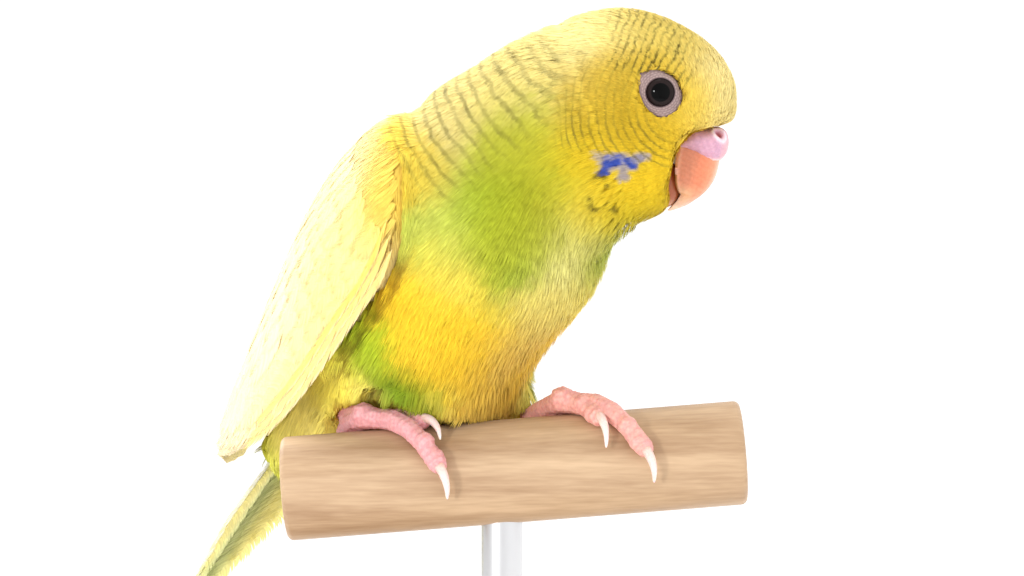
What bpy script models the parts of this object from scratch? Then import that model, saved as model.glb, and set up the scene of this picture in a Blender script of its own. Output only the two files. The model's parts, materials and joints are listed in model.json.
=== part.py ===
"""A young budgerigar at life size, gripping a short round perch on a plain display stand.

Run with: blender --background --python part.py
Metres, +Z up. The origin is the middle of the stand's underside. +X runs along the perch, the way the
bill points, and the breast is turned to -Y.
"""

import math

import bmesh
import bpy
import numpy as np
from mathutils import Matrix, Vector

MM = 0.001
GAP = 0.3 * MM  # air between two pieces that touch

# The stand and its perch
PERCH_TOP = 78.0 * MM  # height of the perch's upper side, over the origin
PERCH_RADIUS = 8.8 * MM
PERCH_FROM, PERCH_TO = -37.0 * MM, 41.0 * MM
PERCH_RISE = math.radians(4.6)  # the perch slopes up a little towards +X
ROD_RADIUS = 3.5 * MM
BASE_RADIUS, BASE_HEIGHT, BASE_ROUNDING = 52.0 * MM, 8.0 * MM, 1.2 * MM

# How the bird sits: the trunk's middle, where its breast heads and how steep its back is
TRUNK_AT = Vector((-10.2 * MM, 8.5 * MM, PERCH_TOP + 22.9 * MM))
TRUNK_HEADING, TRUNK_PITCH = math.radians(-48.0), math.radians(48.5)
HEAD_AT = Vector((24.7 * MM, -10.0 * MM, PERCH_TOP + 55.1 * MM))
HEAD_HEADING, HEAD_PITCH = math.radians(0.0), math.radians(-12.0)

# The plumage's masses: (frame, forward, left, up, length radius, width radius, height radius), in mm
MASSES = {
    "trunk": ("trunk", 1, 0, 1.5, 36, 21.5, 23.5),
    "breast": ("trunk", 16, 0, -3, 22, 20.5, 20.5),
    "belly": ("trunk", -19, 0, -6.5, 23, 17, 18.5),
    "rump": ("trunk", -38, 0, 5.5, 20, 12, 10),
    "mantle": ("trunk", 21, 0, 5.5, 22, 17, 13.3),
    "neck": ("head", -12, 0, -6, 17, 13.5, 14.5),
    "throat": ("head", -6, 0, -14, 10.5, 10.5, 12.5),
    "cranium": ("head", -4.5, 0, 0.5, 15.5, 12, 13),
    "forehead": ("head", 4, 0, 0, 10.3, 9.4, 10.3),
    "cheeks": ("head", -1, 0, -7.5, 12, 11.7, 11.5),
}
# The bays where the plumage makes way for the bill and for each foot round the perch, given alike
BAYS = {
    "bill": ("head", 15.5, 0, -11.2, 11.8, 13.5, 9.7),
    "right foot": ("perch", -20, 0, -9.5, 16, 14.6, 14.4),
    "left foot": ("perch", 11, 0, -7.0, 13, 13.6, 13.6),
}
BLEND = 4.0 * MM  # how softly the masses run into each other
BAY_BLEND = 1.6 * MM

# Where the plumage is parted: the frame, a place on the cut in mm, and how far it tips up from forward
NECK_CUT = ("head", (-7.0, 0.0, -6.2), math.radians(33.0))
SHOULDER_CUT = ("trunk", (26.0, 0.0, 0.0), 0.0)
HEAD_FACET, NECK_FACET, TRUNK_FACET = 2.7 * MM, 3.9 * MM, 5.3 * MM
REACH = 120 * MM  # size of the blocks that part it


def frame_at(place, heading, pitch):
    """A frame at a place: +X points forward, +Y to the bird's left, +Z out of its back."""
    turn = Matrix.Rotation(heading, 4, "Z") @ Matrix.Rotation(-pitch, 4, "Y")
    return Matrix.Translation(place) @ turn


TRUNK = frame_at(TRUNK_AT, TRUNK_HEADING, TRUNK_PITCH)
HEAD = frame_at(HEAD_AT, HEAD_HEADING, HEAD_PITCH)
FRAMES = {"trunk": TRUNK, "head": HEAD, "perch": Matrix.Translation((0, 0, PERCH_TOP))}


def outside(points, mass):
    """How far each point lies outside one mass, below zero inside it."""
    matrix = np.array(FRAMES[mass[0]].inverted())
    middle, radii = np.array(mass[1:4]) * MM, np.array(mass[4:]) * MM
    scaled = (points @ matrix[:3, :3].T + matrix[:3, 3] - middle) / radii
    size = np.linalg.norm(scaled, axis=1)
    return size * (size - 1) / (np.linalg.norm(scaled / radii, axis=1) + 1e-9)


def joined(one, other, blend):
    """The nearer of two depths, with a round seam between them."""
    share = np.clip(0.5 + 0.5 * (one - other) / blend, 0, 1)
    return one * (1 - share) + other * share - blend * share * (1 - share)


def body_depth(points):
    """How far each point lies outside the plumage, below zero inside it."""
    depths = [outside(points, mass) for mass in MASSES.values()]
    depth = depths[0]
    for one in depths[1:]:
        depth = joined(depth, one, BLEND)
    for bay in BAYS.values():
        depth = -joined(-depth, outside(points, bay), BAY_BLEND)
    return depth


def onto_body(points, rounds=8):
    """Moves points to the plumage's surface, along its slope."""
    step = 0.05 * MM
    for _ in range(rounds):
        here = body_depth(points)
        slope = np.stack([
            body_depth(points + np.eye(3)[axis] * step) - here for axis in range(3)
        ], axis=1) / step
        slope /= np.linalg.norm(slope, axis=1, keepdims=True) + 1e-9
        points = points - slope * here[:, None]
    return points


def collection(name):
    made = bpy.data.collections.new(name)
    bpy.context.scene.collection.children.link(made)
    return made


def clear_scene():
    for thing in list(bpy.data.objects):
        bpy.data.objects.remove(thing, do_unlink=True)


def material(name, colour, roughness):
    made = bpy.data.materials.new(name)
    made.use_nodes = True
    shader = made.node_tree.nodes["Principled BSDF"]
    shader.inputs["Base Color"].default_value = (*colour, 1.0)
    shader.inputs["Roughness"].default_value = roughness
    shader.inputs["Metallic"].default_value = 0.0
    made.diffuse_color = (*colour, 1.0)
    return made


def mesh_object(name, mesh, where):
    made = bpy.data.objects.new(name, mesh)
    where.objects.link(made)
    return made


def from_bmesh(name, shape, where):
    bmesh.ops.recalc_face_normals(shape, faces=shape.faces)
    mesh = bpy.data.meshes.new(name)
    shape.to_mesh(mesh)
    shape.free()
    return mesh_object(name, mesh, where)


def evaluated_mesh(thing):
    bpy.context.view_layer.update()
    graph = bpy.context.evaluated_depsgraph_get()
    return bpy.data.meshes.new_from_object(thing.evaluated_get(graph))


def bake_modifiers(thing):
    """Replaces an object's mesh with what its modifiers make of it."""
    old = thing.data
    thing.data = evaluated_mesh(thing)
    thing.modifiers.clear()
    bpy.data.meshes.remove(old)
    return thing


def in_triangles(thing):
    shape = bmesh.new()
    shape.from_mesh(thing.data)
    bmesh.ops.triangulate(shape, faces=shape.faces)
    shape.to_mesh(thing.data)
    shape.free()


def drop_slivers(thing):
    """Keeps the largest of the pieces that a cut leaves, where its edge only grazes the surface."""
    shape = bmesh.new()
    shape.from_mesh(thing.data)
    left, pieces = set(shape.verts), []
    while left:
        piece, edge = set(), [next(iter(left))]
        while edge:
            vertex = edge.pop()
            if vertex not in piece:
                piece.add(vertex)
                edge += [link.other_vert(vertex) for link in vertex.link_edges]
        left -= piece
        pieces.append(piece)
    pieces.sort(key=len)
    bmesh.ops.delete(shape, geom=[vertex for piece in pieces[:-1] for vertex in piece], context="VERTS")
    shape.to_mesh(thing.data)
    shape.free()


def combine(thing, other, operation):
    """Cuts or joins thing with other, which is used up. The other may pass through itself."""
    in_triangles(thing)
    in_triangles(other)
    modifier = thing.modifiers.new(operation.lower(), "BOOLEAN")
    modifier.operation = operation
    modifier.solver = "EXACT" if operation == "UNION" else "MANIFOLD"  # thin creases defeat EXACT
    modifier.use_self = operation == "UNION"
    modifier.object = other
    bake_modifiers(thing)
    bpy.data.objects.remove(other, do_unlink=True)
    drop_slivers(thing)
    return thing


def one_mesh(things):
    """Puts the faces of several objects in the first one, and removes the others."""
    shape = bmesh.new()
    for thing in things:
        shape.from_mesh(thing.data)
    shape.to_mesh(things[0].data)
    shape.free()
    for thing in things[1:]:
        bpy.data.objects.remove(thing, do_unlink=True)
    return things[0]


def loft(name, rings, where):
    """Joins rings of points, all of one count, into a closed skin with capped ends."""
    shape = bmesh.new()
    rows = [[shape.verts.new(point) for point in ring] for ring in rings]
    for near, far in zip(rows, rows[1:]):
        for here in range(len(near)):
            after = (here + 1) % len(near)
            shape.faces.new((near[here], near[after], far[after]))
            shape.faces.new((near[here], far[after], far[here]))
    shape.faces.new(rows[0])
    shape.faces.new(rows[-1][::-1])
    return from_bmesh(name, shape, where)


def tube(name, points, radii, sides, where):
    """A round bar along points, with a radius at each, made from a bevelled curve."""
    curve = bpy.data.curves.new(name, "CURVE")
    curve.dimensions = "3D"
    curve.bevel_depth = 1.0
    curve.bevel_resolution = sides // 2 - 2
    curve.use_fill_caps = True
    line = curve.splines.new("POLY")
    line.points.add(len(points) - 1)
    for spot, point, radius in zip(line.points, points, radii):
        spot.co = (*point, 1.0)
        spot.radius = radius
    guide = bpy.data.objects.new(name, curve)
    where.objects.link(guide)
    mesh = evaluated_mesh(guide)
    bpy.data.objects.remove(guide, do_unlink=True)
    bpy.data.curves.remove(curve)
    shape = bmesh.new()
    shape.from_mesh(mesh)
    bmesh.ops.remove_doubles(shape, verts=shape.verts, dist=0.01 * MM)
    bpy.data.meshes.remove(mesh)
    return from_bmesh(name, shape, where)


def ball(name, matrix, radii, segments, where):
    shape = bmesh.new()
    size = Matrix.Diagonal((*radii, 1.0))
    bmesh.ops.create_uvsphere(
        shape, u_segments=segments, v_segments=segments // 2, radius=1.0, matrix=matrix @ size
    )
    return from_bmesh(name, shape, where)


def block_before(cut, side, where):
    """A large block on one side of a cut (+1 in front of it, -1 behind), half a gap clear of it."""
    frame, place, tip = cut
    matrix = FRAMES[frame] @ Matrix.Translation(Vector(place) * MM) @ Matrix.Rotation(-tip, 4, "Y")
    shape = bmesh.new()
    bmesh.ops.create_cube(
        shape, size=REACH, matrix=matrix @ Matrix.Translation((side * (REACH - GAP) / 2, 0, 0))
    )
    return from_bmesh("block", shape, where)


def along(table, at):
    """Reads the rows (place, value, value, ...) at one place, with straight steps between them."""
    rows = np.array(sorted(table))
    return [float(np.interp(at, rows[:, 0], column)) for column in rows[:, 1:].T]


# The plumage of head, neck and trunk

def whole_body(facet, where):
    """The plumage in one skin: its masses, remeshed evenly and moved onto their blend."""
    shape = bmesh.new()
    for frame, *numbers in MASSES.values():
        place = Matrix.Translation(Vector(numbers[:3]) * MM)
        size = Matrix.Diagonal((*(Vector(numbers[3:]) * MM), 1.0))
        bmesh.ops.create_uvsphere(
            shape, u_segments=32, v_segments=16, radius=1.0,
            matrix=FRAMES[frame] @ place @ size,
        )
    body = from_bmesh("body", shape, where)
    remesh = body.modifiers.new("even", "REMESH")
    remesh.mode = "VOXEL"
    remesh.voxel_size = facet
    bake_modifiers(body)
    mesh = body.data
    points = np.empty(len(mesh.vertices) * 3)
    mesh.vertices.foreach_get("co", points)
    points = onto_body(points.reshape(-1, 3))
    mesh.vertices.foreach_set("co", points.ravel())
    mesh.update()
    return body


def body_part(name, facet, cuts, where):
    """One length of the body. Each cut comes with the side that is taken away."""
    made = whole_body(facet, where)
    made.name = name
    for cut, side in cuts:
        combine(made, block_before(cut, side, where), "DIFFERENCE")
    return made


# The wings, as shells round the trunk's axis

# (forward, outer radius, lower edge angle, upper edge angle, thickness), in mm and degrees
WING = [
    (26, 21.0, 16, 52, 1.4),
    (21, 23.4, -7, 66, 3.0),
    (11, 25.6, -18, 76, 3.9),
    (0, 26.2, -17, 80, 3.9),
    (-14, 25.2, -14, 83, 3.4),
    (-28, 23.8, -8, 85, 3.0),
    (-40, 22.1, 2, 86, 2.5),
    (-50, 20.5, 20, 86, 1.9),
    (-58, 18.8, 46, 85, 1.4),
    (-63, 17.4, 64, 82, 1.0),
]
WING_RINGS, WING_ARC = 14, 7
WING_CLEARANCE = 6 * MM  # how far out the trunk is cleared over a wing


def wing(name, side, where, out=0.0, spare=0.0):
    """A folded wing on one side (+1 left, -1 right). The last two numbers grow it into a cutter."""
    first, last = WING[0][0] + spare / MM, WING[-1][0] - spare / MM
    rings = []
    for step in range(WING_RINGS):
        forward = first + (last - first) * step / (WING_RINGS - 1)
        radius, low, high, thick = along(WING, forward)
        turn = math.degrees(spare / (radius * MM))
        angles = np.radians(np.linspace(low - turn, high + turn, WING_ARC))
        outer, inner = radius * MM + out, (radius - thick) * MM - spare
        rounds = [(outer, angle) for angle in angles] + [(inner, angle) for angle in angles[::-1]]
        rings.append([
            TRUNK @ Vector((forward * MM, side * far * math.cos(angle), far * math.sin(angle)))
            for far, angle in rounds
        ])
    return loft(name, rings, where)


# The tail

# (forward, height over the axis, half width, half thickness), in mm
TAIL = [
    (-36, 8.5, 5.0, 2.2),
    (-48, 9.5, 6.6, 1.9),
    (-62, 10.4, 7.0, 1.5),
    (-74, 11.0, 6.6, 1.2),
    (-86, 11.5, 5.2, 1.0),
    (-96, 11.9, 4.0, 0.8),
    (-106, 12.4, 2.9, 0.6),
    (-112, 12.6, 1.2, 0.4),
]
TAIL_RINGS, TAIL_SIDES, TAIL_DROOP = 12, 10, 0.25


def tail(name, where, spare=0.0):
    """Long graduated feathers in one flat taper, highest along the middle."""
    rings = []
    for forward in np.linspace(TAIL[0][0], TAIL[-1][0], TAIL_RINGS):
        height, width, thick = along(TAIL, forward)
        ring = []
        for turn in np.linspace(0, 2 * math.pi, TAIL_SIDES, endpoint=False):
            across = (width * MM + spare) * math.cos(turn)
            up = height * MM + (thick * MM + spare) * math.sin(turn) - TAIL_DROOP * abs(across)
            ring.append(TRUNK @ Vector((forward * MM, across, up)))
        rings.append(ring)
    return loft(name, rings, where)


# The head's hard parts, in the head's frame: forward, left and up from its middle

EYE_AT = Vector((0.6, 9.4, 0.85)) * MM
EYE_RADIUS = 3.2 * MM
BILL_ARC_AT = Vector((4.7, 0.0, -9.0)) * MM  # middle of the arc that the bill's ridge follows
BILL_ARC = 8.7 * MM
BILL_TURN = (12.0, -77.0)  # degrees along that arc, from the cere to the tip
# (share along the bill, back edge forward, back edge up, half width), in mm
BILL = [
    (0.0, 6.0, -6.0, 4.0),
    (0.18, 6.0, -8.0, 4.1),
    (0.42, 6.3, -11.4, 4.0),
    (0.62, 7.0, -13.8, 3.4),
    (0.80, 7.6, -15.3, 2.4),
    (1.0, 6.5, -17.8, 0.5),
]
BILL_RINGS, BILL_SIDES, BILL_ROUND = 9, 10, 0.8
CERE_AT = Vector((10.3, 0.0, -5.5)) * MM
CERE_RADII = Vector((3.8, 4.3, 2.9)) * MM
CERE_TILT = math.radians(6.0)
NOSTRIL_AT = Vector((12.4, 2.3, -3.8)) * MM
NOSTRIL_RADIUS, NOSTRIL_DEPTH = 0.5 * MM, 1.4 * MM
LOWER_BILL_AT = Vector((5.3, 0.0, -13.8)) * MM
LOWER_BILL_RADII = Vector((2.7, 3.1, 3.7)) * MM


def upper_bill(name, where, spare=0.0):
    """The hooked upper bill: its ridge is an arc, and its back edge follows the lower bill."""
    rings = []
    for share in np.linspace(-spare / BILL_ARC, 1 + spare / BILL_ARC, BILL_RINGS):
        turn = math.radians(BILL_TURN[0] + (BILL_TURN[1] - BILL_TURN[0]) * share)
        ridge = BILL_ARC_AT + (BILL_ARC + spare) * Vector((math.cos(turn), 0, math.sin(turn)))
        back_forward, back_up, width = along(BILL, share)
        back = Vector((back_forward, 0, back_up)) * MM
        back -= (ridge - back).normalized() * spare
        ring = []
        for around in np.linspace(-math.pi / 2, math.pi / 2, BILL_SIDES):
            out = back.lerp(ridge, max(math.cos(around), 0.0) ** BILL_ROUND)
            ring.append(HEAD @ (out + Vector((0, (width * MM + spare) * math.sin(around), 0))))
        rings.append(ring)
    return loft(name, rings, where)


def lower_bill(name, where, spare=0.0):
    radii = [radius + spare for radius in LOWER_BILL_RADII]
    return ball(name, HEAD @ Matrix.Translation(LOWER_BILL_AT), radii, 16, where)


def swelling(name, where, spare=0.0):
    """The cere without its nostrils."""
    place = HEAD @ Matrix.Translation(CERE_AT) @ Matrix.Rotation(CERE_TILT, 4, "Y")
    return ball(name, place, [radius + spare for radius in CERE_RADII], 16, where)


def cere(where):
    """The bare swelling over the bill, with a nostril on each side."""
    made = swelling("cere", where)
    for side in (1, -1):
        at = Vector((NOSTRIL_AT.x, side * NOSTRIL_AT.y, NOSTRIL_AT.z))
        out = (at - CERE_AT).normalized()
        ends = [HEAD @ (at - out * NOSTRIL_DEPTH), HEAD @ (at + out * NOSTRIL_DEPTH)]
        combine(made, tube("hole", ends, [NOSTRIL_RADIUS] * 2, 6, where), "DIFFERENCE")
    return made


def eye(name, side, where, spare=0.0):
    at = Vector((EYE_AT.x, side * EYE_AT.y, EYE_AT.z))
    return ball(name, HEAD @ Matrix.Translation(at), (EYE_RADIUS + spare,) * 3, 14, where)


# The feet. A place on the perch is how far along it, degrees round it from the top to the front, and
# the height over its surface

PERCH = (
    Matrix.Translation((0, 0, PERCH_TOP - PERCH_RADIUS / math.cos(PERCH_RISE)))
    @ Matrix.Rotation(-PERCH_RISE, 4, "Y")
)


def on_perch(length, degrees, height):
    turn, out = math.radians(degrees), PERCH_RADIUS + height
    return PERCH @ Vector((length, -out * math.sin(turn), out * math.cos(turn)))


# Each foot's middle on the perch (mm, degrees), and its ankle and its thigh's middle, in mm from the
# perch's top
FEET = {
    "right": {"middle": (-22.6, -2.0), "ankle": (-27.0, 9.5, -0.4), "thigh": (-26.0, 10.5, 6.4)},
    "left": {"middle": (11.2, -2.0), "ankle": (4.5, 9.5, -0.9), "thigh": (-0.8, 11.5, 5.6)},
}
THIGH_RADII = (5.4 * MM, 5.4 * MM, 9.0 * MM)
# How far along the perch (mm) and to what angle each toe reaches from its foot's middle
REACHES = {
    "right": {"second": (9.8, 17), "third": (12.2, 70), "fourth": (-6.2, -98), "first": (-0.5, -72)},
    "left": {"second": (5.6, 34), "third": (12.8, 70), "fourth": (-5.2, -98), "first": (2.5, -72)},
}
# Each toe's radius at its root and at its tip, in mm
TOES = {"second": (1.65, 1.4), "third": (1.9, 1.5), "fourth": (1.75, 1.4), "first": (1.5, 1.3)}
SHANK_RADIUS, SOLE_RADIUS = 1.75 * MM, 2.3 * MM
CLAW_LENGTH, CLAW_RADIUS, CLAW_BEND = 6.0 * MM, 0.95 * MM, math.radians(80.0)
TOE_STEPS, TOE_SIDES, CLAW_STEPS, CLAW_SIDES = 6, 8, 5, 6
KNUCKLES, KNUCKLE_SWELL, TOE_CURL = 3, 0.10, 1.6


def over_perch(place):
    return Vector(place) * MM + Vector((0, 0, PERCH_TOP))


def toe_line(side, toe):
    """Points and radii from the foot's middle to the toe's end, on the perch's round."""
    start, start_angle = FEET[side]["middle"]
    reach, end_angle = REACHES[side][toe]
    root, tip = TOES[toe]
    points, radii = [], []
    for share in np.linspace(0, 1, TOE_STEPS):
        swell = 1 + KNUCKLE_SWELL * math.cos(2 * math.pi * KNUCKLES * share)
        radius = (root + (tip - root) * share) * swell * MM
        length = (start + reach * share ** 0.9) * MM
        angle = start_angle + (end_angle - start_angle) * share ** TOE_CURL
        points.append(on_perch(length, angle, radius + GAP))
        radii.append(radius)
    return points, radii


def claw(name, side, toe, where):
    """A curved, pointed nail that leaves the toe's end and bends down round the perch."""
    points, radii = toe_line(side, toe)
    heading = (points[-1] - points[-2]).normalized()
    axis = (PERCH.to_3x3() @ Vector((1, 0, 0))).normalized()
    inward = on_perch(0, 0, -PERCH_RADIUS) - points[-1]
    inward = (inward - axis * inward.dot(axis)).normalized()
    around = math.copysign(1.0, REACHES[side][toe][1]) * inward.cross(axis)
    bent = inward * 0.6 + around * 0.8
    bent = (bent - heading * bent.dot(heading)).normalized()
    root = points[-1] + heading * GAP - inward * 0.4 * radii[-1]
    line, sizes = [], []
    for share in np.linspace(0, 1, CLAW_STEPS):
        bend = CLAW_BEND * share
        direction = heading * math.cos(bend / 2) + bent * math.sin(bend / 2)
        line.append(root + direction * CLAW_LENGTH * share)
        sizes.append(CLAW_RADIUS * (1 - 0.85 * share ** 1.3))
    return tube(name, line, sizes, CLAW_SIDES, where)


def sole_at(side):
    start, start_angle = FEET[side]["middle"]
    return on_perch(start * MM, start_angle, SOLE_RADIUS + GAP)


def shank(side, name, where, spare=0.0):
    """The bare lower leg, from the ankle to the sole."""
    ankle, sole = over_perch(FEET[side]["ankle"]), sole_at(side)
    end = ankle + (ankle - sole).normalized() * spare
    return tube(name, [end, sole], [SHANK_RADIUS + spare] * 2, TOE_SIDES, where)


def foot(side, where):
    """Shank, sole and four toes in one piece."""
    made = shank(side, f"foot_{side}", where)
    pieces = [ball("sole", Matrix.Translation(sole_at(side)), (SOLE_RADIUS,) * 3, 8, where)]
    for toe in TOES:
        points, radii = toe_line(side, toe)
        pieces.append(tube("toe", points, radii, TOE_SIDES, where))
    return combine(made, one_mesh(pieces), "UNION")


def thigh(side, name, where, spare=0.0):
    """The feathered upper leg, tipped along the line from the belly down to the ankle."""
    middle, ankle = over_perch(FEET[side]["thigh"]), over_perch(FEET[side]["ankle"])
    turn = (middle - ankle).to_track_quat("Z", "Y").to_matrix().to_4x4()
    radii = [radius + spare for radius in THIGH_RADII]
    return ball(name, Matrix.Translation(middle) @ turn, radii, 14, where)


# The stand

def cylinder(name, matrix, radius, height, segments, where):
    shape = bmesh.new()
    bmesh.ops.create_cone(
        shape, cap_ends=True, segments=segments, radius1=radius, radius2=radius, depth=height,
        matrix=matrix,
    )
    return from_bmesh(name, shape, where)


def perch(name, where, spare=0.0):
    middle = Matrix.Translation(((PERCH_FROM + PERCH_TO) / 2, 0, 0))
    lying = Matrix.Rotation(math.pi / 2, 4, "Y")
    length = PERCH_TO - PERCH_FROM + 2 * spare
    return cylinder(name, PERCH @ middle @ lying, PERCH_RADIUS + spare, length, 32, where)


def stand(parts, cutters):
    """The base, the perch, and the rod that carries the perch."""
    base_at = Matrix.Translation((0, 0, BASE_HEIGHT / 2))
    base = cylinder("stand_base", base_at, BASE_RADIUS, BASE_HEIGHT, 44, parts)
    bevel = base.modifiers.new("rounded", "BEVEL")
    bevel.width = BASE_ROUNDING
    bevel.segments = 1
    bevel.limit_method = "ANGLE"
    perch("stand_perch", parts)
    bottom = BASE_HEIGHT + GAP
    top = PERCH.translation.z - PERCH_RADIUS / 2
    rod_at = Matrix.Translation((0, 0, (top + bottom) / 2))
    rod = cylinder("stand_rod", rod_at, ROD_RADIUS, top - bottom, 20, parts)
    combine(rod, perch("seat", cutters, GAP), "DIFFERENCE")


# Each node's material: the start of its name, the colour and the roughness
FINISHES = [
    ("head", (0.80, 0.68, 0.20), 0.9),
    ("neck", (0.78, 0.72, 0.34), 0.9),
    ("trunk", (0.62, 0.68, 0.14), 0.9),
    ("thigh", (0.80, 0.66, 0.14), 0.9),
    ("wing", (0.88, 0.84, 0.55), 0.8),
    ("tail", (0.82, 0.80, 0.50), 0.8),
    ("eye", (0.01, 0.01, 0.01), 0.05),
    ("cere", (0.72, 0.45, 0.55), 0.4),
    ("bill", (0.85, 0.48, 0.20), 0.3),
    ("foot", (0.78, 0.48, 0.45), 0.5),
    ("claw", (0.85, 0.70, 0.60), 0.35),
    ("stand_base", (0.42, 0.27, 0.16), 0.45),
    ("stand_rod", (0.55, 0.56, 0.58), 0.3),
    ("stand_perch", (0.62, 0.46, 0.30), 0.6),
]


def paint(parts):
    """Gives each piece the material of its kind."""
    for start, colour, roughness in FINISHES:
        made = material(start, colour, roughness)
        for thing in parts.objects:
            if thing.name.startswith(start):
                thing.data.materials.clear()
                thing.data.materials.append(made)


def main():
    clear_scene()
    parts, cutters = collection("budgerigar"), collection("cutters")
    cutters.hide_render = True
    stand(parts, cutters)

    cere(parts)
    upper = upper_bill("bill_upper", parts)
    combine(upper, swelling("room", cutters, GAP), "DIFFERENCE")
    lower = lower_bill("bill_lower", parts)
    combine(lower, upper_bill("room", cutters, GAP), "DIFFERENCE")
    head = body_part("head", HEAD_FACET, [(NECK_CUT, -1)], parts)
    for name, side in (("eye_right", -1), ("eye_left", 1)):
        eye(name, side, parts)
        combine(head, eye("socket", side, cutters, GAP), "DIFFERENCE")
    for hard in (lower_bill, swelling, upper_bill):
        combine(head, hard("room", cutters, GAP), "DIFFERENCE")
    body_part("neck", NECK_FACET, [(NECK_CUT, 1), (SHOULDER_CUT, -1)], parts)

    trunk = body_part("trunk", TRUNK_FACET, [(SHOULDER_CUT, 1)], parts)
    for name, side in (("wing_right", -1), ("wing_left", 1)):
        wing(name, side, parts)
        combine(trunk, wing("recess", side, cutters, WING_CLEARANCE, GAP), "DIFFERENCE")
    tail("tail", parts)
    combine(trunk, tail("root", cutters, GAP), "DIFFERENCE")
    combine(trunk, perch("seat", cutters, GAP), "DIFFERENCE")

    for side in FEET:
        foot(side, parts)
        for toe in TOES:
            claw(f"claw_{side}_{toe}", side, toe, parts)
        upper_leg = thigh(side, f"thigh_{side}", parts)
        combine(upper_leg, shank(side, "sleeve", cutters, GAP), "DIFFERENCE")
        combine(trunk, thigh(side, "hip", cutters, GAP), "DIFFERENCE")
        combine(trunk, shank(side, "sleeve", cutters, GAP), "DIFFERENCE")
    paint(parts)


main()
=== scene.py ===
# %% [markdown]
# # A budgerigar, feather by feather
#
# The model is a young budgerigar at life size. The plain solids of its parts are already in place, in
# metres, with +Z up. This lesson gives them their looks: one skin, a coat of small feathers over it,
# long feathers in wings and tail, and the bare parts: eyes, cere, bill, feet and claws.

# %% Load the plain parts
import json
import math
import bpy
import numpy as np
from mathutils import Matrix, Vector
from mathutils.bvhtree import BVHTree

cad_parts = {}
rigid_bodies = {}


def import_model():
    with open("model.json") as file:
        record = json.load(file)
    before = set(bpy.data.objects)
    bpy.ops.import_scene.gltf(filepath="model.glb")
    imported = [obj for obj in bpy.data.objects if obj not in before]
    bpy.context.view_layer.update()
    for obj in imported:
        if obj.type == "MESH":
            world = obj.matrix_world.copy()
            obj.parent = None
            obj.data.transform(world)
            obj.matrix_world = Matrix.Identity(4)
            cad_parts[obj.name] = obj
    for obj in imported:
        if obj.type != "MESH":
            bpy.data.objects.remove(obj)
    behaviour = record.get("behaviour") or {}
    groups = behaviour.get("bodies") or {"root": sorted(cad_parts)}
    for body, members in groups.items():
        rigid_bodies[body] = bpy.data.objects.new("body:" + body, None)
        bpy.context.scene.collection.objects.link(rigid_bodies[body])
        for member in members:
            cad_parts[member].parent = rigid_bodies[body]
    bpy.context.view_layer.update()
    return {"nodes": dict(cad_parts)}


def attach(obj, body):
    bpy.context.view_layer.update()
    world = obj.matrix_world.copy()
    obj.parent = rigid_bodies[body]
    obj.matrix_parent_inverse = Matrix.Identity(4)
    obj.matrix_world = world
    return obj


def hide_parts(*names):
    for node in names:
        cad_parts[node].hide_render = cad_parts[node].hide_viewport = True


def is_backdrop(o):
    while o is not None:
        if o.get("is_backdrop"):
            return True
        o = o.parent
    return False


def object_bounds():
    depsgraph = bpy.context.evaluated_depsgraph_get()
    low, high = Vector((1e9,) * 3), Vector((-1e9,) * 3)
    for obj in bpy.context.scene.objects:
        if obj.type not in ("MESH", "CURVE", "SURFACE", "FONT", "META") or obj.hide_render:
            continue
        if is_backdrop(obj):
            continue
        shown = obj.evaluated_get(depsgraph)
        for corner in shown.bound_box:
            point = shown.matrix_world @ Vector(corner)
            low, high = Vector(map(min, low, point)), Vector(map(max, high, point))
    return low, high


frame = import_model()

MM = 0.001
nodes = frame["nodes"]
chance = np.random.default_rng(7)
scene = bpy.context.scene

# %% [markdown]
# The bird leans forward, and its head is level while its trunk is steep. So most places on it are
# easiest to name in one of two frames of its own: forward, left and up, from the middle of the trunk
# or from the middle of the head.

# %% The trunk's and the head's own frames
def bird_frame(place, heading, pitch):
    """A place in metres and its forward, left and up directions, as rows."""
    turn = Matrix.Rotation(math.radians(heading), 3, "Z") @ Matrix.Rotation(-math.radians(pitch), 3, "Y")
    return np.array(place) * MM, np.array(turn).T


TRUNK = bird_frame((-10.2, 8.5, 100.9), -48.0, 48.5)
HEAD = bird_frame((24.7, -10.0, 133.1), 0.0, -12.0)
FRAMES = {"trunk": TRUNK, "head": HEAD}


def local(points, name):
    """World points as millimetres forward, left and up in one of the bird's frames."""
    place, axes = FRAMES[name]
    return (np.asarray(points) - place) @ axes.T / MM


def world(spots, name):
    """The way back, from millimetres in a frame to world points."""
    place, axes = FRAMES[name]
    return place + (np.asarray(spots, float) * MM) @ axes


def sided(points, name):
    """As local, with left taken as the distance from the middle, so that both sides match."""
    spots = local(points, name)
    spots[:, 1] = np.abs(spots[:, 1])
    return spots


def smooth(low, high, value):
    share = np.clip((value - low) / (high - low), 0, 1)
    return share * share * (3 - 2 * share)


def band(value, start, full, fading, end):
    """1 between full and fading, and softly down to 0 at start and at end."""
    return smooth(start, full, value) * smooth(end, fading, value)


def hill(spots, place, reach):
    """1 at a place, and softly down to 0 round it."""
    return np.exp(-(((spots - place) / reach) ** 2).sum(1))


print("trunk heads", TRUNK[1][0].round(2), "head heads", HEAD[1][0].round(2))

# %% [markdown]
# A material here is a Principled shader and a few nodes in front of it. Small helpers keep that short:
# one starts a material, one adds a node with its settings and its links, and one plugs an output into
# the shader. They serve the world's nodes as well.

# %% Helpers for materials
def new_material(name, roughness, colour=(0.8, 0.8, 0.8), **others):
    """A material with its even values on the shader's own sockets."""
    made = bpy.data.materials.new(name)
    made.use_nodes = True
    others = {"Base Color": (*colour, 1), "Roughness": roughness, **others}
    for socket, value in others.items():
        made.node_tree.nodes["Principled BSDF"].inputs[socket.replace("_", " ")].default_value = value
    return made


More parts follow.
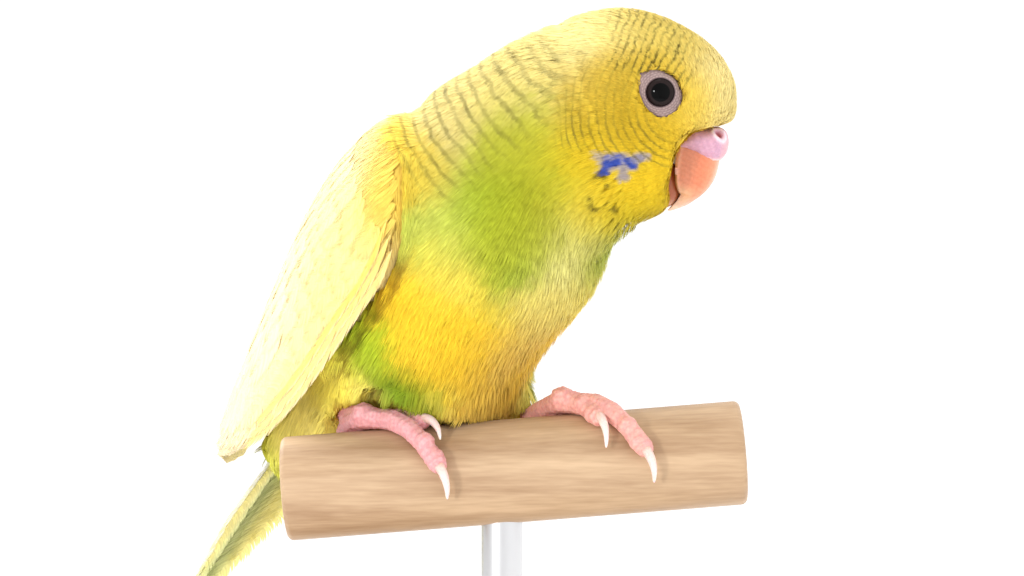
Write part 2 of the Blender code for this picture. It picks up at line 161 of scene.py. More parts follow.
def connect(owner, value, socket):
    """Gives a socket a link to an output, or a plain value."""
    if isinstance(value, bpy.types.NodeSocket):
        owner.node_tree.links.new(value, socket)
    else:
        socket.default_value = value


def node(owner, kind, settings=None, **links):
    """Adds a node. A link is named by its socket, or by _ and the socket's number."""
    made = owner.node_tree.nodes.new("ShaderNode" + kind)
    for name, value in (settings or {}).items():
        setattr(made, name, value)
    for name, value in links.items():
        connect(owner, value, made.inputs[int(name[1:]) if name[1:].isdigit() else name.replace("_", " ")])
    return made


def plug(material, socket, output):
    connect(material, output, material.node_tree.nodes["Principled BSDF"].inputs[socket])


paper = new_material("paper_floor", 0.9, (0.93, 0.93, 0.93))
print("first material:", paper.name)

# %% [markdown]
# Some nodes come back in most materials: what the mesh stores, a noise with spots of a given size, a
# mix of two colours and a little arithmetic. Each is a function that returns the node's output.

# %% Nodes that come back often
def object_place(material):
    return node(material, "TexCoord").outputs["Object"]


def stored(material, name, output="Fac"):
    """What the mesh stores under this name."""
    return node(material, "Attribute", {"attribute_name": name}).outputs[output]


def speckle(material, size, detail=2.0):
    """A noise with spots of about this size in metres, from 0 to 1."""
    spot = object_place(material)
    return node(material, "TexNoise", Vector=spot, Scale=1 / size, Detail=detail).outputs["Fac"]


def between(material, share, one, other):
    """Mixes two colours, each a value or an output."""
    one, other = ((*colour, 1) if isinstance(colour, tuple) else colour for colour in (one, other))
    return node(material, "Mix", {"data_type": "RGBA"}, _0=share, _6=one, _7=other).outputs[2]


def reckon(owner, operation, *values):
    """One step of arithmetic."""
    links = {f"_{index}": value for index, value in enumerate(values)}
    return node(owner, "Math", {"operation": operation}, **links).outputs[0]


def mapped(owner, value, ends, new_ends=(0.0, 1.0), kind="LINEAR"):
    """A value stretched from one pair of ends to another."""
    limits = dict(zip(("From_Min", "From_Max", "To_Min", "To_Max"), (*ends, *new_ends)))
    return node(owner, "MapRange", {"interpolation_type": kind}, Value=value, **limits).outputs[0]


def toned(material, colour, tone):
    """Plugs in a colour that a number makes lighter or darker."""
    scaled = node(material, "VectorMath", {"operation": "SCALE"}, _0=colour, Scale=tone)
    plug(material, "Base Color", scaled.outputs[0])


print("the floor's shader:", [some.name for some in paper.node_tree.nodes])

# %% [markdown]
# The photograph looks at the bird's right side from a little above, with a long lens. The camera's
# place follows from the pixel at which the top of the perch has to appear.

# %% The camera
LENS, SENSOR = 100.0, 36.0
IMAGE_WIDTH, IMAGE_HEIGHT = 1024, 576
CAMERA_DISTANCE, CAMERA_DROP = 0.482, math.radians(5.0)
PERCH_TOP = Vector((0, 0, 0.078))
PERCH_TOP_PIXEL = (502, 420)

look = Vector((0, math.cos(CAMERA_DROP), -math.sin(CAMERA_DROP)))
over = Vector((0, math.sin(CAMERA_DROP), math.cos(CAMERA_DROP)))
pixel = CAMERA_DISTANCE * SENSOR / LENS / IMAGE_WIDTH
aim = (
    PERCH_TOP
    + Vector((1, 0, 0)) * (IMAGE_WIDTH / 2 - PERCH_TOP_PIXEL[0]) * pixel
    + over * (PERCH_TOP_PIXEL[1] - IMAGE_HEIGHT / 2) * pixel
)
bpy.ops.object.camera_add(location=aim - look * CAMERA_DISTANCE, rotation=(math.pi / 2 - CAMERA_DROP, 0, 0))
camera = bpy.context.object
camera.data.lens, camera.data.sensor_width = LENS, SENSOR
camera.data.clip_start = 0.01
scene.camera = camera
print("camera at", [round(x, 3) for x in camera.location])

# %% [markdown]
# The photograph's ground is pure white. So the world is bright behind the bird and dimmer elsewhere,
# and soft square lamps give the light from the upper left, which also puts the small highlight in the
# eye.

# %% Light and floor
# Soft square lamps that face the bird's middle: name, place, size in metres and power in watts
LAMPS = [
    ("key", (-0.57, -0.82, 0.24), 0.12, 3.6), ("rim", (-0.60, 0.50, 0.62), 0.60, 6.0),
    ("top", (-0.20, 0.10, 1.10), 0.90, 4.0), ("low", (-0.45, -0.65, -0.12), 0.80, 0.6),
]
for name, place, size, power in LAMPS:
    bpy.ops.object.light_add(type="AREA", location=place)
    lamp = bpy.context.object
    lamp.name = name
    lamp.data.size, lamp.data.energy = size, power
    lamp.rotation_euler = (Vector((0, 0, 0.11)) - Vector(place)).to_track_quat("-Z", "Y").to_euler()

# A white wall stands behind the bird. Less light comes from below, and more from the right
sky = bpy.data.worlds.new("studio")
sky.use_nodes = True
way = node(sky, "SeparateXYZ", _0=node(sky, "TexCoord").outputs["Generated"]).outputs
from_below = mapped(sky, way["Z"], (-0.8, -0.25), (0.75, 1.0))
from_right = mapped(sky, way["X"], (-0.3, 0.7), (1.0, 1.4))
strength = reckon(sky, "MULTIPLY", reckon(sky, "MULTIPLY", from_below, 1.06), from_right)
background = sky.node_tree.nodes["Background"].inputs
connect(sky, (1, 1, 1, 1), background["Color"])
connect(sky, strength, background["Strength"])
scene.world = sky
scene.view_settings.view_transform = "Standard"
scene.view_settings.look = "None"
scene.view_settings.exposure = 0.0

bpy.ops.mesh.primitive_cylinder_add(vertices=96, radius=0.20, depth=0.004, location=(0, 0, -0.0022))
floor = bpy.context.object
floor.name = "floor"
floor.data.materials.append(paper)
floor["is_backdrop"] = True
print("lamps:", [name for name, *_ in LAMPS])

# %% [markdown]
# Under the feathers lies one skin. It could be drawn anew, but the solids already hold the true
# outline, so copies of the fleshy ones are swollen until they meet, joined, remeshed as one surface
# and then drawn in by the depth of the coat. The first helpers select, edit, modify and copy a mesh.

# %% Working with meshes
def only(*things):
    """Selects just these objects."""
    bpy.ops.object.select_all(action="DESELECT")
    for thing in things:
        thing.select_set(True)
    bpy.context.view_layer.objects.active = things[0]


def edit(thing, operation, **settings):
    """Runs one operator on all faces of a thing."""
    only(thing)
    bpy.ops.object.mode_set(mode="EDIT")
    bpy.ops.mesh.select_all(action="SELECT")
    operation(**settings)
    bpy.ops.object.mode_set(mode="OBJECT")


def modify(thing, kind, **settings):
    """Adds a modifier with these settings and applies it."""
    only(thing)
    added = thing.modifiers.new(kind.lower(), kind)
    for name, value in settings.items():
        setattr(added, name, value)
    bpy.ops.object.modifier_apply(modifier=added.name)


def copy_of(names, name):
    """A loose copy of one or more parts, joined, with the doubled corners of their triangles merged."""
    copies = []
    for part in names:
        made = nodes[part].copy()
        made.data = nodes[part].data.copy()
        made.parent = None
        for key in list(made.keys()):
            del made[key]
        scene.collection.objects.link(made)
        copies.append(made)
    only(*copies)
    if len(copies) > 1:
        bpy.ops.object.join()
    made = bpy.context.object
    made.name = made.data.name = name
    made.data.materials.clear()
    edit(made, bpy.ops.mesh.remove_doubles, threshold=0.01 * MM)
    return made


print("a solid that the skin starts from has", len(nodes["head"].data.polygons), "triangles")

# %% [markdown]
# Swelling moves every face outward by the same distance. A remesh then puts one even surface round all
# that overlaps, and closes every cut between the solids, so no seam shows.

# %% Swelling and remeshing
def swell(thing, distance):
    edit(thing, bpy.ops.transform.shrink_fatten, value=distance)


def remesh(thing, cell, rounds):
    """One even closed surface from all that overlaps, then smoothed."""
    only(thing)
    thing.data.remesh_voxel_size = cell
    thing.data.remesh_voxel_adaptivity = 0.0
    bpy.ops.object.voxel_remesh()
    modify(thing, "SMOOTH", factor=0.5, iterations=rounds)


print("the foot's solid, to be remeshed too, has", len(nodes["foot_left"].data.polygons), "triangles")

# %% [markdown]
# Rules that move corners work on a whole mesh at once. So its corners come out as one array of places
# in metres, are worked on, and go back the same way.

# %% Corners in and out, and the finish of a piece
def corners_of(thing):
    points = np.empty(len(thing.data.vertices) * 3)
    thing.data.vertices.foreach_get("co", points)
    return points.reshape(-1, 3)


def normals_of(thing):
    normals = np.empty(len(thing.data.vertices) * 3, np.float32)
    thing.data.vertex_normals.foreach_get("vector", normals)
    return normals.reshape(-1, 3).astype(float)


def put_corners(thing, points):
    thing.data.vertices.foreach_set("co", np.ascontiguousarray(points, np.float32).ravel())
    thing.data.update()


def finish_piece(thing, material, slot, *stands_for):
    """Smooth shading, the material and the body it moves with. The slot is not used."""
    thing.data.materials.clear()
    thing.data.materials.append(material)
    thing.data.polygons.foreach_set("use_smooth", np.ones(len(thing.data.polygons), bool))
    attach(thing, "root")
    if stands_for:
        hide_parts(*stands_for)
    print(f"{thing.name}: {len(thing.data.polygons)} faces")
    return thing


print("the head's solid spans", np.ptp(corners_of(nodes["head"]), axis=0).round(4), "m")

# %% [markdown]
# Two later steps need the border of the folded wing. It is easiest to give round the trunk's axis: how
# far out the wing lies there, and between which angles.

# %% The wing's own measure
# Forward, radius round the trunk's axis, and the angles of the lower and the upper border
WING_FORM = np.array([
    (26, 21.0, 16, 52), (21, 23.4, -7, 66), (11, 25.6, -18, 76), (0, 26.2, -17, 80), (-14, 25.2, -14, 83),
    (-28, 23.8, -8, 85), (-40, 22.1, 2, 86), (-50, 20.5, 20, 86), (-58, 18.8, 46, 85), (-63, 17.4, 64, 82),
], float)


def rounded(at, places, values):
    """Reads a table between its places along a smooth curve."""
    order = np.argsort(places)
    places, values = places[order], values[order]
    slopes = np.gradient(values, places)
    at = np.clip(at, places[0], places[-1])
    here = np.clip(np.searchsorted(places, at) - 1, 0, len(places) - 2)
    width = places[here + 1] - places[here]
    share = (at - places[here]) / width
    one, other = share * share * (3 - 2 * share), share * share * (share - 1) * width
    return (
        values[here] * (1 - one) + values[here + 1] * one
        + slopes[here] * share * (1 - share) ** 2 * width + slopes[here + 1] * other
    )


def wing_form(forward):
    radius, low, high = (rounded(forward, WING_FORM[:, 0], column) for column in WING_FORM[:, 1:].T)
    return radius, np.radians(low), np.radians(high)


def below_wing(points):
    """How many mm each point lies below the wing's lower border, and how much that counts there."""
    spots = sided(points, "trunk")
    low = wing_form(spots[:, 0])[1]
    below = (low - np.arctan2(spots[:, 2], spots[:, 1])) * np.hypot(spots[:, 1], spots[:, 2])
    count = band(spots[:, 0], -46, -30, 18, 25) * smooth(8, 12, spots[:, 1])
    return below, count


print("the wing's border at its middle:", round(math.degrees(wing_form(np.zeros(1))[1][0])), "degrees")

# %% [markdown]
# How deep the skin lies under the feathers' outer side depends on the part: little on the face and on
# the wings, most on the trunk. A tree of all the solids' faces tells which part a place belongs to.

# %% How deep the skin lies
# Where the feathers end at the cere and the bill: up and forward from the head's middle, in mm
EDGE_UP = [-18.0, -13.9, -11.0, -8.7, -6.2, -4.7, -3.65, -2.6, -2.0]
EDGE_FORWARD = [7.0, 6.4, 5.8, 5.2, 5.5, 6.8, 8.3, 10.6, 12.6]
FLESH = ["head", "neck", "trunk", "thigh_left", "thigh_right", "wing_left", "wing_right"]
HEAD_PART, NECK_PART, FIRST_WING = (FLESH.index(name) for name in ("head", "neck", "wing_left"))
COAT_DEPTH = np.array([0.9, 1.5, 1.9, 1.2, 1.2, 0.75, 0.75])  # over each of these parts, in mm
SWELL, SKIN_CELL, SKIN_ROUNDS = 0.32 * MM, 0.75 * MM, 7
# Where the skin rises or sinks: over the cere, under the chin and before the wing. All in mm
SKIN_LIFTS = [
    ("head", (12.0, 0, -1.6), (3.2, 6.5, 2.6), 0.4), ("head", (4.6, 0, -16.2), (2.8, 6.5, 2.6), 1.5),
    ("trunk", (24.5, 13, 17), (4.5, 6, 5), -1.4),
]

flesh_corners, flesh_faces = [], []
for part in FLESH:
    start = len(flesh_corners)
    flesh_corners += [corner.co.copy() for corner in nodes[part].data.vertices]
    flesh_faces += [[start + corner for corner in face.vertices] for face in nodes[part].data.polygons]
flesh_tree = BVHTree.FromPolygons(flesh_corners, flesh_faces)
face_part = np.repeat(np.arange(len(FLESH)), [len(nodes[part].data.polygons) for part in FLESH])


def coat_depth(points, part):
    """How deep the skin lies under the feathers' outer side, in metres."""
    head, trunk = local(points, "head"), local(points, "trunk")
    face = smooth(16, 4, np.linalg.norm((head - (10, 0, -9)) * (1, 0.8, 0.8), axis=1))
    tip = smooth(-25, -50, trunk[:, 0]) * (part >= FIRST_WING)
    return COAT_DEPTH[part] * (1 - 0.6 * face * (part == HEAD_PART)) * (1 - 0.75 * tip) * MM


print("the coat is", COAT_DEPTH.min(), "to", COAT_DEPTH.max(), "mm deep")

# %% [markdown]
# The steps are: swell, join, remesh, and draw in by the coat's depth. Where head, neck and trunk meet
# the depth is evened out first, so that no step shows.

# %% One skin over all parts
skin = copy_of(FLESH, "skin")
swell(skin, SWELL)
remesh(skin, SKIN_CELL, SKIN_ROUNDS)
points = corners_of(skin)
skin_part = np.array([face_part[flesh_tree.find_nearest(Vector(p))[2]] for p in points])
depth = coat_depth(points, skin_part)
for _ in range(6):  # evens the depth out where one part meets the next
    edges = np.empty(len(skin.data.edges) * 2, int)
    skin.data.edges.foreach_get("vertices", edges)
    edges = edges.reshape(-1, 2)
    total, count = depth.copy(), np.ones(len(depth))
    for one, other in (edges.T, edges.T[::-1]):
        np.add.at(total, one, depth[other])
        np.add.at(count, one, 1)
    depth = total / count
below, count = below_wing(points)
groove = band(below, -0.6, 0.6, 1.0, 2.6) * count * (skin_part < FIRST_WING)
depth += 0.5 * MM * groove * smooth(-22, -10, local(points, "trunk")[:, 0])
x, y, z = sided(points, "head").T
edge = np.interp(z, EDGE_UP, EDGE_FORWARD)
depth += MM * smooth(-0.6, 0.9, x - edge) * band(z, -15, -11, -5.4, -3.4) * (skin_part == HEAD_PART)
for name, place, reach, lift in SKIN_LIFTS:
    depth -= lift * MM * hill(sided(points, name), place, reach)
put_corners(skin, points - normals_of(skin) * (SWELL + depth)[:, None])
# The body runs into the front of the folded wing without a step
spots = sided(points, "trunk")
ease = band(spots[:, 0], 17, 20.5, 27, 30) * smooth(13, 16, spots[:, 1])
group = skin.vertex_groups.new(name="shoulder")
for index in np.flatnonzero(ease > 0.02).tolist():
    group.add([index], float(ease[index]), "REPLACE")
modify(skin, "SMOOTH", factor=0.5, iterations=30, vertex_group="shoulder")
modify(skin, "SMOOTH", factor=0.5, iterations=3)
modify(skin, "TRIANGULATE")
print("skin:", len(skin.data.vertices), "corners,", len(skin.data.polygons), "triangles")

# %% [markdown]
# The skin is laid out flat once, by the lie of its own faces. Every feather later takes its small
# patch of the map named OFBake from the place of its root on that layout.

# %% The skin's own layout
skin.data.uv_layers.new(name="OFBake")
edit(skin, bpy.ops.uv.smart_project, angle_limit=math.radians(66), island_margin=0.003)

skin_points, skin_normals = corners_of(skin), normals_of(skin)
skin_faces = np.empty(len(skin.data.polygons) * 3, int)
skin.data.polygons.foreach_get("vertices", skin_faces)
skin_faces = skin_faces.reshape(-1, 3)
skin_layout = np.empty(len(skin.data.loops) * 2, np.float32)
skin.data.uv_layers["OFBake"].data.foreach_get("uv", skin_layout)
skin_layout = skin_layout.reshape(-1, 3, 2).astype(float)
print("layout spans", skin_layout.reshape(-1, 2).min(0).round(2), skin_layout.reshape(-1, 2).max(0).round(2))

# %% [markdown]
# A budgerigar's colours could be painted on with a brush, but here they follow rules, so that skin and
# feathers carry the same markings. The ground colour is a soft blend of named fields, each a place on
# the bird and a colour. Slow waves shift the fields a little, because real patches have uneven borders.

# %% The ground colour
# Each field: frame, place (forward, from the middle, up), reach, all in mm, its colour and its weight.
# Where no field reaches, the plumage is plain yellow. A few fields are painted shade or painted light
YELLOW = (0.90, 0.62, 0.035)
FIELDS = {
    "cheek": ("head", (4, 10, -6), (9, 9, 9), (0.80, 0.55, 0.03), 1.0),
    "hind crown": ("head", (-15, 5, 8), (7, 12, 5), (0.96, 0.84, 0.36), 1.6),
    "crown": ("head", (-3, 4, 12), (8, 9, 5), (0.82, 0.64, 0.14), 1.3),
    "forehead": ("head", (11, 0, 4), (5, 10, 7), (0.94, 0.80, 0.34), 1.6),
    "before the eye": ("head", (6, 10, 1), (3.5, 5, 3.5), (0.90, 0.68, 0.10), 1.0),
    "behind the eye": ("head", (-7, 12, 0), (7, 6, 6), (0.74, 0.51, 0.05), 1.8),
    "lower cheek": ("head", (-2, 12, -6), (6, 6, 4), (0.62, 0.40, 0.012), 1.8),
    "throat": ("head", (2, 6, -14), (9, 12, 5), (0.92, 0.64, 0.02), 2.2),
    "lower throat": ("head", (-6, 6, -19), (6, 12, 4), (0.86, 0.60, 0.01), 1.6),
    "nape": ("head", (-20, 5, 3), (7, 12, 6), (0.86, 0.72, 0.27), 1.4),
    "upper nape": ("trunk", (43, 5, 6), (9, 9, 7), (0.84, 0.70, 0.22), 1.2),
    "hind neck": ("trunk", (34, 8, 9), (8, 14, 8), (0.82, 0.68, 0.26), 1.4),
    "mantle": ("trunk", (22, 0, 16), (14, 14, 8), (0.80, 0.68, 0.24), 1.0),
    "shoulder": ("trunk", (27, 18, 1), (4, 5, 5), (0.62, 0.50, 0.07), 1.8),
    "side of the neck": ("trunk", (38, 10, -6), (7, 6, 7), (0.52, 0.52, 0.035), 1.7),
    "fore neck": ("trunk", (44, 3, -13), (5, 7, 5), (0.78, 0.56, 0.015), 1.1),
    "upper breast": ("trunk", (32, 7, -15), (8, 9, 7), (0.48, 0.48, 0.02), 1.8),
    "side of the breast": ("trunk", (29, 13, -9), (6, 6, 6), (0.38, 0.49, 0.02), 1.6),
    "breast by the wing": ("trunk", (25, 18, -7), (6, 5, 6), (0.62, 0.66, 0.12), 1.4),
    "green breast": ("trunk", (25, 9, -19), (5, 6, 6), (0.38, 0.44, 0.03), 1.4),
    "pale breast edge": ("trunk", (31, 0, -18), (7, 5, 6), (0.80, 0.76, 0.22), 0.9),
    "lower breast edge": ("trunk", (19, 3, -22), (8, 6, 6), (0.86, 0.72, 0.18), 1.2),
    "yellow breast spot": ("trunk", (17, 17, -14), (5, 5, 6), (0.86, 0.72, 0.10), 1.4),
    "olive lower breast": ("trunk", (15, 10, -20), (4, 4, 6), (0.70, 0.60, 0.06), 0.9),
    "dark breast spot": ("trunk", (23, 8, -20), (2.6, 3, 4), (0.36, 0.46, 0.03), 2.2),
    "cream breast edge": ("trunk", (26, 1, -21), (5, 4, 4), (0.94, 0.88, 0.36), 1.4),
    "green under the bend": ("trunk", (18, 21, -6), (5, 5, 5), (0.60, 0.68, 0.10), 1.2),
    "flank": ("trunk", (7, 16, -15), (8, 8, 8), (0.96, 0.66, 0.03), 2.4),
    "belly": ("trunk", (0, 10, -19), (8, 8, 8), (0.86, 0.56, 0.03), 1.8),
    "middle of the belly": ("trunk", (4, 2, -22), (7, 5, 6), (0.76, 0.52, 0.12), 1.3),
    "green flank": ("trunk", (-6, 22, -9), (5, 5, 4.5), (0.40, 0.56, 0.02), 2.6),
    "green above the foot": ("trunk", (-10, 14, -16), (4.5, 4, 5), (0.16, 0.30, 0.01), 5.5),
    # Painted shade: an orange-brown for the shade on the lower belly near the perch
    "painted shade of the lower belly": ("trunk", (-4, 1, -22), (5, 6, 6), (0.62, 0.38, 0.06), 1.3),
    # Partly painted light: the thigh's real yellow, made lighter to offset the shade under the wing
    "thigh": ("trunk", (-21, 17, -7), (8, 8, 8), (1.0, 0.86, 0.12), 3.2),
    "side of the rump": ("trunk", (-34, 12, 0), (9, 9, 9), (0.98, 0.82, 0.20), 3.2),
    "vent": ("trunk", (-24, 4, -16), (9, 9, 9), (0.92, 0.70, 0.10), 1.6),
    "hem over the toes": ("trunk", (-8.5, 11.5, -21.5), (3, 3, 2.5), (0.98, 0.90, 0.20), 5.0),
    # Painted shade: a brown for the shade where the belly comes down between the feet
    "painted shade between the feet": ("trunk", (-11, 3, -21), (4, 5, 4), (0.72, 0.48, 0.10), 1.6),
    # Painted light: a brighter yellow that lightens the shaded hollow above the ankle
    "painted light above the ankle": ("trunk", (-14, 14.5, -10.5), (2.5, 3, 2.5), (1.0, 0.84, 0.18), 6.0),
    "warm bend": ("trunk", (26, 19, 8), (2.6, 5, 7), (0.98, 0.73, 0.07), 3.4),
    "warm lower bend": ("trunk", (22.5, 20, 0.5), (2.6, 4, 3), (0.90, 0.66, 0.06), 2.4),
    "under the tail": ("trunk", (-45, 0, 6), (12, 12, 12), (0.62, 0.62, 0.05), 1.2),
    "back": ("trunk", (-20, 0, 22), (22, 12, 8), (0.52, 0.58, 0.05), 1.2),
}


def blended(spots, fields, elsewhere):
    """A soft blend of the fields' colours, and another colour far from all of them."""
    total = np.full(len(spots["trunk"]), 1e-6)
    colour = total[:, None] * elsewhere
    for name, place, reach, shade, weight in fields.values():
        share = weight * hill(spots[name], place, reach)
        total += share
        colour += share[:, None] * shade
    return colour / total[:, None]


def ground_colour(points):
    """The plumage's colour between its bars, as linear red, green and blue."""
    drift = [1.9 * MM * wobble(points + shift * MM, 5.0) for shift in (0, 31, 67)]
    points = points + np.stack(drift, 1)
    return blended({name: sided(points, name) for name in FRAMES}, FIELDS, YELLOW)


print("fields of colour on the body:", len(FIELDS))

# %% [markdown]
# The wings keep a scheme of their own, warm at the bend and pale over the rest. It stays apart from the
# body's fields, because the border between wing and body is sharp.

# %% The wings' colours
WING_FIELDS = {
    "front of the bend": ("trunk", (24, 18, 7), (4, 7, 7), (0.98, 0.78, 0.10), 1.8),
    "lower bend": ("trunk", (19, 21, 1), (5, 5, 5), (0.98, 0.78, 0.09), 1.6),
    "shoulder coverts": ("trunk", (15, 18, 14), (9, 9, 8), (0.98, 0.92, 0.40), 1.4),
    "middle coverts": ("trunk", (5, 25, 0), (10, 6, 9), (0.97, 0.84, 0.28), 1.5),
    "upper wing": ("trunk", (-8, 22, 12), (16, 9, 11), (0.97, 0.93, 0.50), 1.6),
    "lower wing": ("trunk", (-15, 24, -3), (14, 6, 6), (0.95, 0.80, 0.30), 1.2),
    "long feathers": ("trunk", (-35, 20, 10), (20, 14, 14), (0.96, 0.90, 0.48), 1.4),
}
WING_TINT = (0.95, 0.85, 0.95)


def wing_colour(points):
    return blended({"trunk": sided(points, "trunk")}, WING_FIELDS, (1, 1, 1)) * WING_TINT


print("fields of colour on the wings:", len(WING_FIELDS))

# %% [markdown]
# The dark bars cross the lie of the feathers, so they are rings: on the head round a place before the
# eye, and on the neck round the back of the head. They are one row, counted on from the face to the
# nape, and a second number says how dark they are at each place. Each corner of a mesh stores both, and
# the material draws the fine lines. The row wobbles a little, since no two feathers lie alike.

# %% The bars
# The head's rings are centred before the eye, and the centre lies higher for the crown than for the
# cheek. Forward and up at the cheek, forward and up at the crown, and mm from bar to bar
CHEEK_RINGS_AT, CROWN_RINGS_AT, HEAD_BAR = np.array((4.9, -0.1)), np.array((7.0, 7.9)), 1.3
NECK_RINGS_AT, NECK_BAR = np.array((-8.0, 0.0, 5.0)), 2.1
RINGS_MEET, CROWN_MEETS = 19.5, 15.1  # from either centre to where the two rows are in step


def wobble(points, size):
    """A soft unevenness between -1 and 1, with waves about this long in mm."""
    x, y, z = (points / MM / size).T
    first = np.sin(1.7 * x + 1.3 * np.sin(1.1 * y + 0.4) + 0.7)
    second = np.sin(1.9 * y + 1.2 * np.sin(1.3 * z + 1.9) + 2.1)
    third = np.sin(1.5 * z + 1.4 * np.sin(1.2 * x + 0.3) + 0.2)
    return (first + second + third) / 3


def bars(points):
    """Each point's place in the row of bars, counted in bars, and the bars' strength there."""
    head, trunk = sided(points, "head"), sided(points, "trunk")
    x, y, z = head.T
    rise = smooth(-2, 9, z)[:, None]
    away = head[:, (0, 2)] - (CHEEK_RINGS_AT * (1 - rise) + CROWN_RINGS_AT * rise)
    from_face = np.hypot(*away.T)
    from_crown = np.linalg.norm(head - NECK_RINGS_AT, axis=1)
    on_neck = smooth(-12.5, -16.5, x)
    row = (1 - on_neck) * from_face / HEAD_BAR
    row += on_neck * (RINGS_MEET / HEAD_BAR + (from_crown - CROWN_MEETS) / NECK_BAR)
    row += 0.2 * wobble(points, 2.4) + (0.05 + 0.06 * rise[:, 0]) * wobble(points, 0.8)
    crown = smooth(-9.5, -7.5, x + 0.35 * z - 2) * smooth(10.5, 3.5, x + 0.25 * z) * smooth(2.0, 4.5, z)
    cheek = smooth(-16, -12, x) * smooth(3.5, -1.0, x + 0.35 * z) * band(z, -11.6, -10.2, 3, 7.5)
    cheek *= smooth(5, 9, y) * (0.4 + 0.6 * smooth(-3.0, -6, z))
    pale = hill(head, (-15, 6, 9), (5.5, 12, 4.5))
    x, y, z = trunk.T
    nape = on_neck * smooth(14, 24, x) * smooth(-9, -1, z + 0.18 * (x - 30))
    shoulder = band(x, 22, 26, 28, 33) * smooth(12, 16, y) * smooth(-8, -3, z)
    strength = 0.95 * crown * (1 - on_neck) + 0.68 * cheek * (1 - on_neck)
    strength += 0.55 * np.maximum(nape * smooth(25, 27.5, x), shoulder)
    uneven = 0.75 + 0.45 * wobble(points, 1.5)
    return row, np.clip(strength * (1 - 1.5 * pale) * uneven, 0, 1)


def dark_tips(points):
    """How dark the feathers' own tips are, which makes the cheek behind the eye look finely scaled."""
    x, y, z = sided(points, "head").T
    return band(x, -17, -13, -4.5, -1.5) * band(z, -9.5, -6, 3.5, 6.5) * smooth(5, 8, y)


print("a bar every", HEAD_BAR, "mm on the head and every", NECK_BAR, "mm on the neck")

# %% [markdown]
# The cheek patch and the throat's spots are a few feathers each. A short line with a width describes
# each of them, and the distance to it, made ragged by the same wobble, decides what is coloured.

# %% The cheek patch and the spots
# Blobs of the cheek patch: forward and up at both ends, half width, and how blue it is (the rest grey)
CHEEK_BLOBS = [
    ((-5.3, -13.0), (-4.5, -11.2), 0.72, 1.0), ((-3.8, -11.1), (-2.6, -10.7), 0.80, 1.0),
    ((-2.0, -10.9), (-1.2, -11.5), 0.75, 1.0), ((-0.8, -10.1), (-0.2, -10.0), 0.50, 0.4),
    ((0.3, -9.8), (0.7, -9.7), 0.35, 0.15), ((-2.4, -12.5), (-2.2, -13.3), 0.60, 0.3),
    ((-6.6, -10.6), (-5.9, -10.8), 0.35, 0.0), ((-4.4, -12.0), (-3.5, -11.5), 0.6, 1.0),
]
SPOTS = [
    ((-6.0, -13.9), (-5.3, -14.5), 0.62), ((-6.4, -18.4), (-5.7, -19.3), 0.42),
    ((-5.7, -19.3), (-4.9, -19.1), 0.5), ((-2.6, -18.6), (-1.9, -19.0), 0.40),
]
PATCH_BLUE, PATCH_GREY, SPOT_BROWN = (0.045, 0.085, 0.42), (0.42, 0.38, 0.44), (0.13, 0.095, 0.01)


def near_line(spots, one, other):
    """The distance from each spot to a stretch between two places."""
    one, other = np.array(one), np.array(other)
    along = np.clip(((spots - one) @ (other - one)) / ((other - one) ** 2).sum(), 0, 1)
    return np.linalg.norm(spots - one - along[:, None] * (other - one), axis=1)


def mix(colour, share, other):
    """Mixes another colour into a row of colours, by a share for each."""
    return colour * (1 - share[:, None]) + share[:, None] * np.array(other)


def marked_colour(points):
    """The ground colour with the shade below the wings, the cheek patch and the throat's spots."""
    colour = ground_colour(points)
    below, count = below_wing(points)
    forward = local(points, "trunk")[:, 0]
    shade = 0.58 * count * band(below, -1.2, 0.0, 0.7, 1.9) * band(forward, -19, -11, 13, 17)
    colour = colour * (1 - shade[:, None] * (0.75, 0.9, 1.0))
    head = sided(points, "head")
    on_side = smooth(5, 7, head[:, 1])
    ragged = 0.22 * wobble(points, 0.8) + 0.12 * wobble(points, 0.3)
    for one, other, radius, blue in CHEEK_BLOBS:
        away = near_line(head[:, (0, 2)], one, other) + ragged
        rim = smooth(radius + 0.7, radius + 0.1, away) * on_side
        core = smooth(radius + 0.3, radius - 0.2, away) * on_side * blue
        colour = mix(mix(colour, 0.65 * rim, PATCH_GREY), core, PATCH_BLUE)
    for one, other, radius in SPOTS:
        away = near_line(head[:, (0, 2)], one, other) + 0.6 * ragged
        colour = mix(colour, 0.85 * smooth(radius + 0.25, radius - 0.25, away) * on_side, SPOT_BROWN)
    return colour


row, strength = bars(skin_points)
print("bars on the skin:", int(np.ptp(row)), "strongest", round(strength.max(), 2))

# %% [markdown]
# Feathers lie along a flow. On the head it runs back from the bill, on the body from the breast to
# the root of the tail, on a thigh down to the foot and on a wing along its length. The flow is only a
# direction in space, and each feather follows it over the skin in short steps.

# %% The lie of the feathers
BILL_ROOT = world((8.0, 0.0, -6.0), "head")
TAIL_ROOT = world((-62.0, 0.0, 2.0), "trunk")
DOWN = np.array((0.0, 0.0, -1.0))
EYE_AT, EYE_RADIUS = np.array((0.6, 9.4, 0.85)), 3.2
# The lids' outer border: forward and up from the head's middle, in mm
LID_BORDER = [
    (3.95, 0.7), (3.7, 1.6), (3.1, 2.4), (1.8, 3.5), (0.6, 3.85), (-0.9, 3.8), (-2.1, 3.45), (-3.0, 2.9),
    (-3.0, 2.1), (-2.6, 1.0), (-1.8, -0.6), (-0.9, -1.7), (0.2, -2.4), (1.95, -2.9), (3.1, -2.1), (3.8, -0.7),
]
border = np.array(LID_BORDER) - EYE_AT[[0, 2]]
border_turn = np.arctan2(border[:, 1], border[:, 0])
order = np.argsort(border_turn)
border_turn, border_radius = border_turn[order], np.linalg.norm(border, axis=1)[order]
FOOT_AT = {"right": np.array((-0.0250, 0.001, 0.078)), "left": np.array((0.0085, 0.002, 0.078))}


def unit(vectors):
    return vectors / (np.linalg.norm(vectors, axis=-1, keepdims=True) + 1e-12)


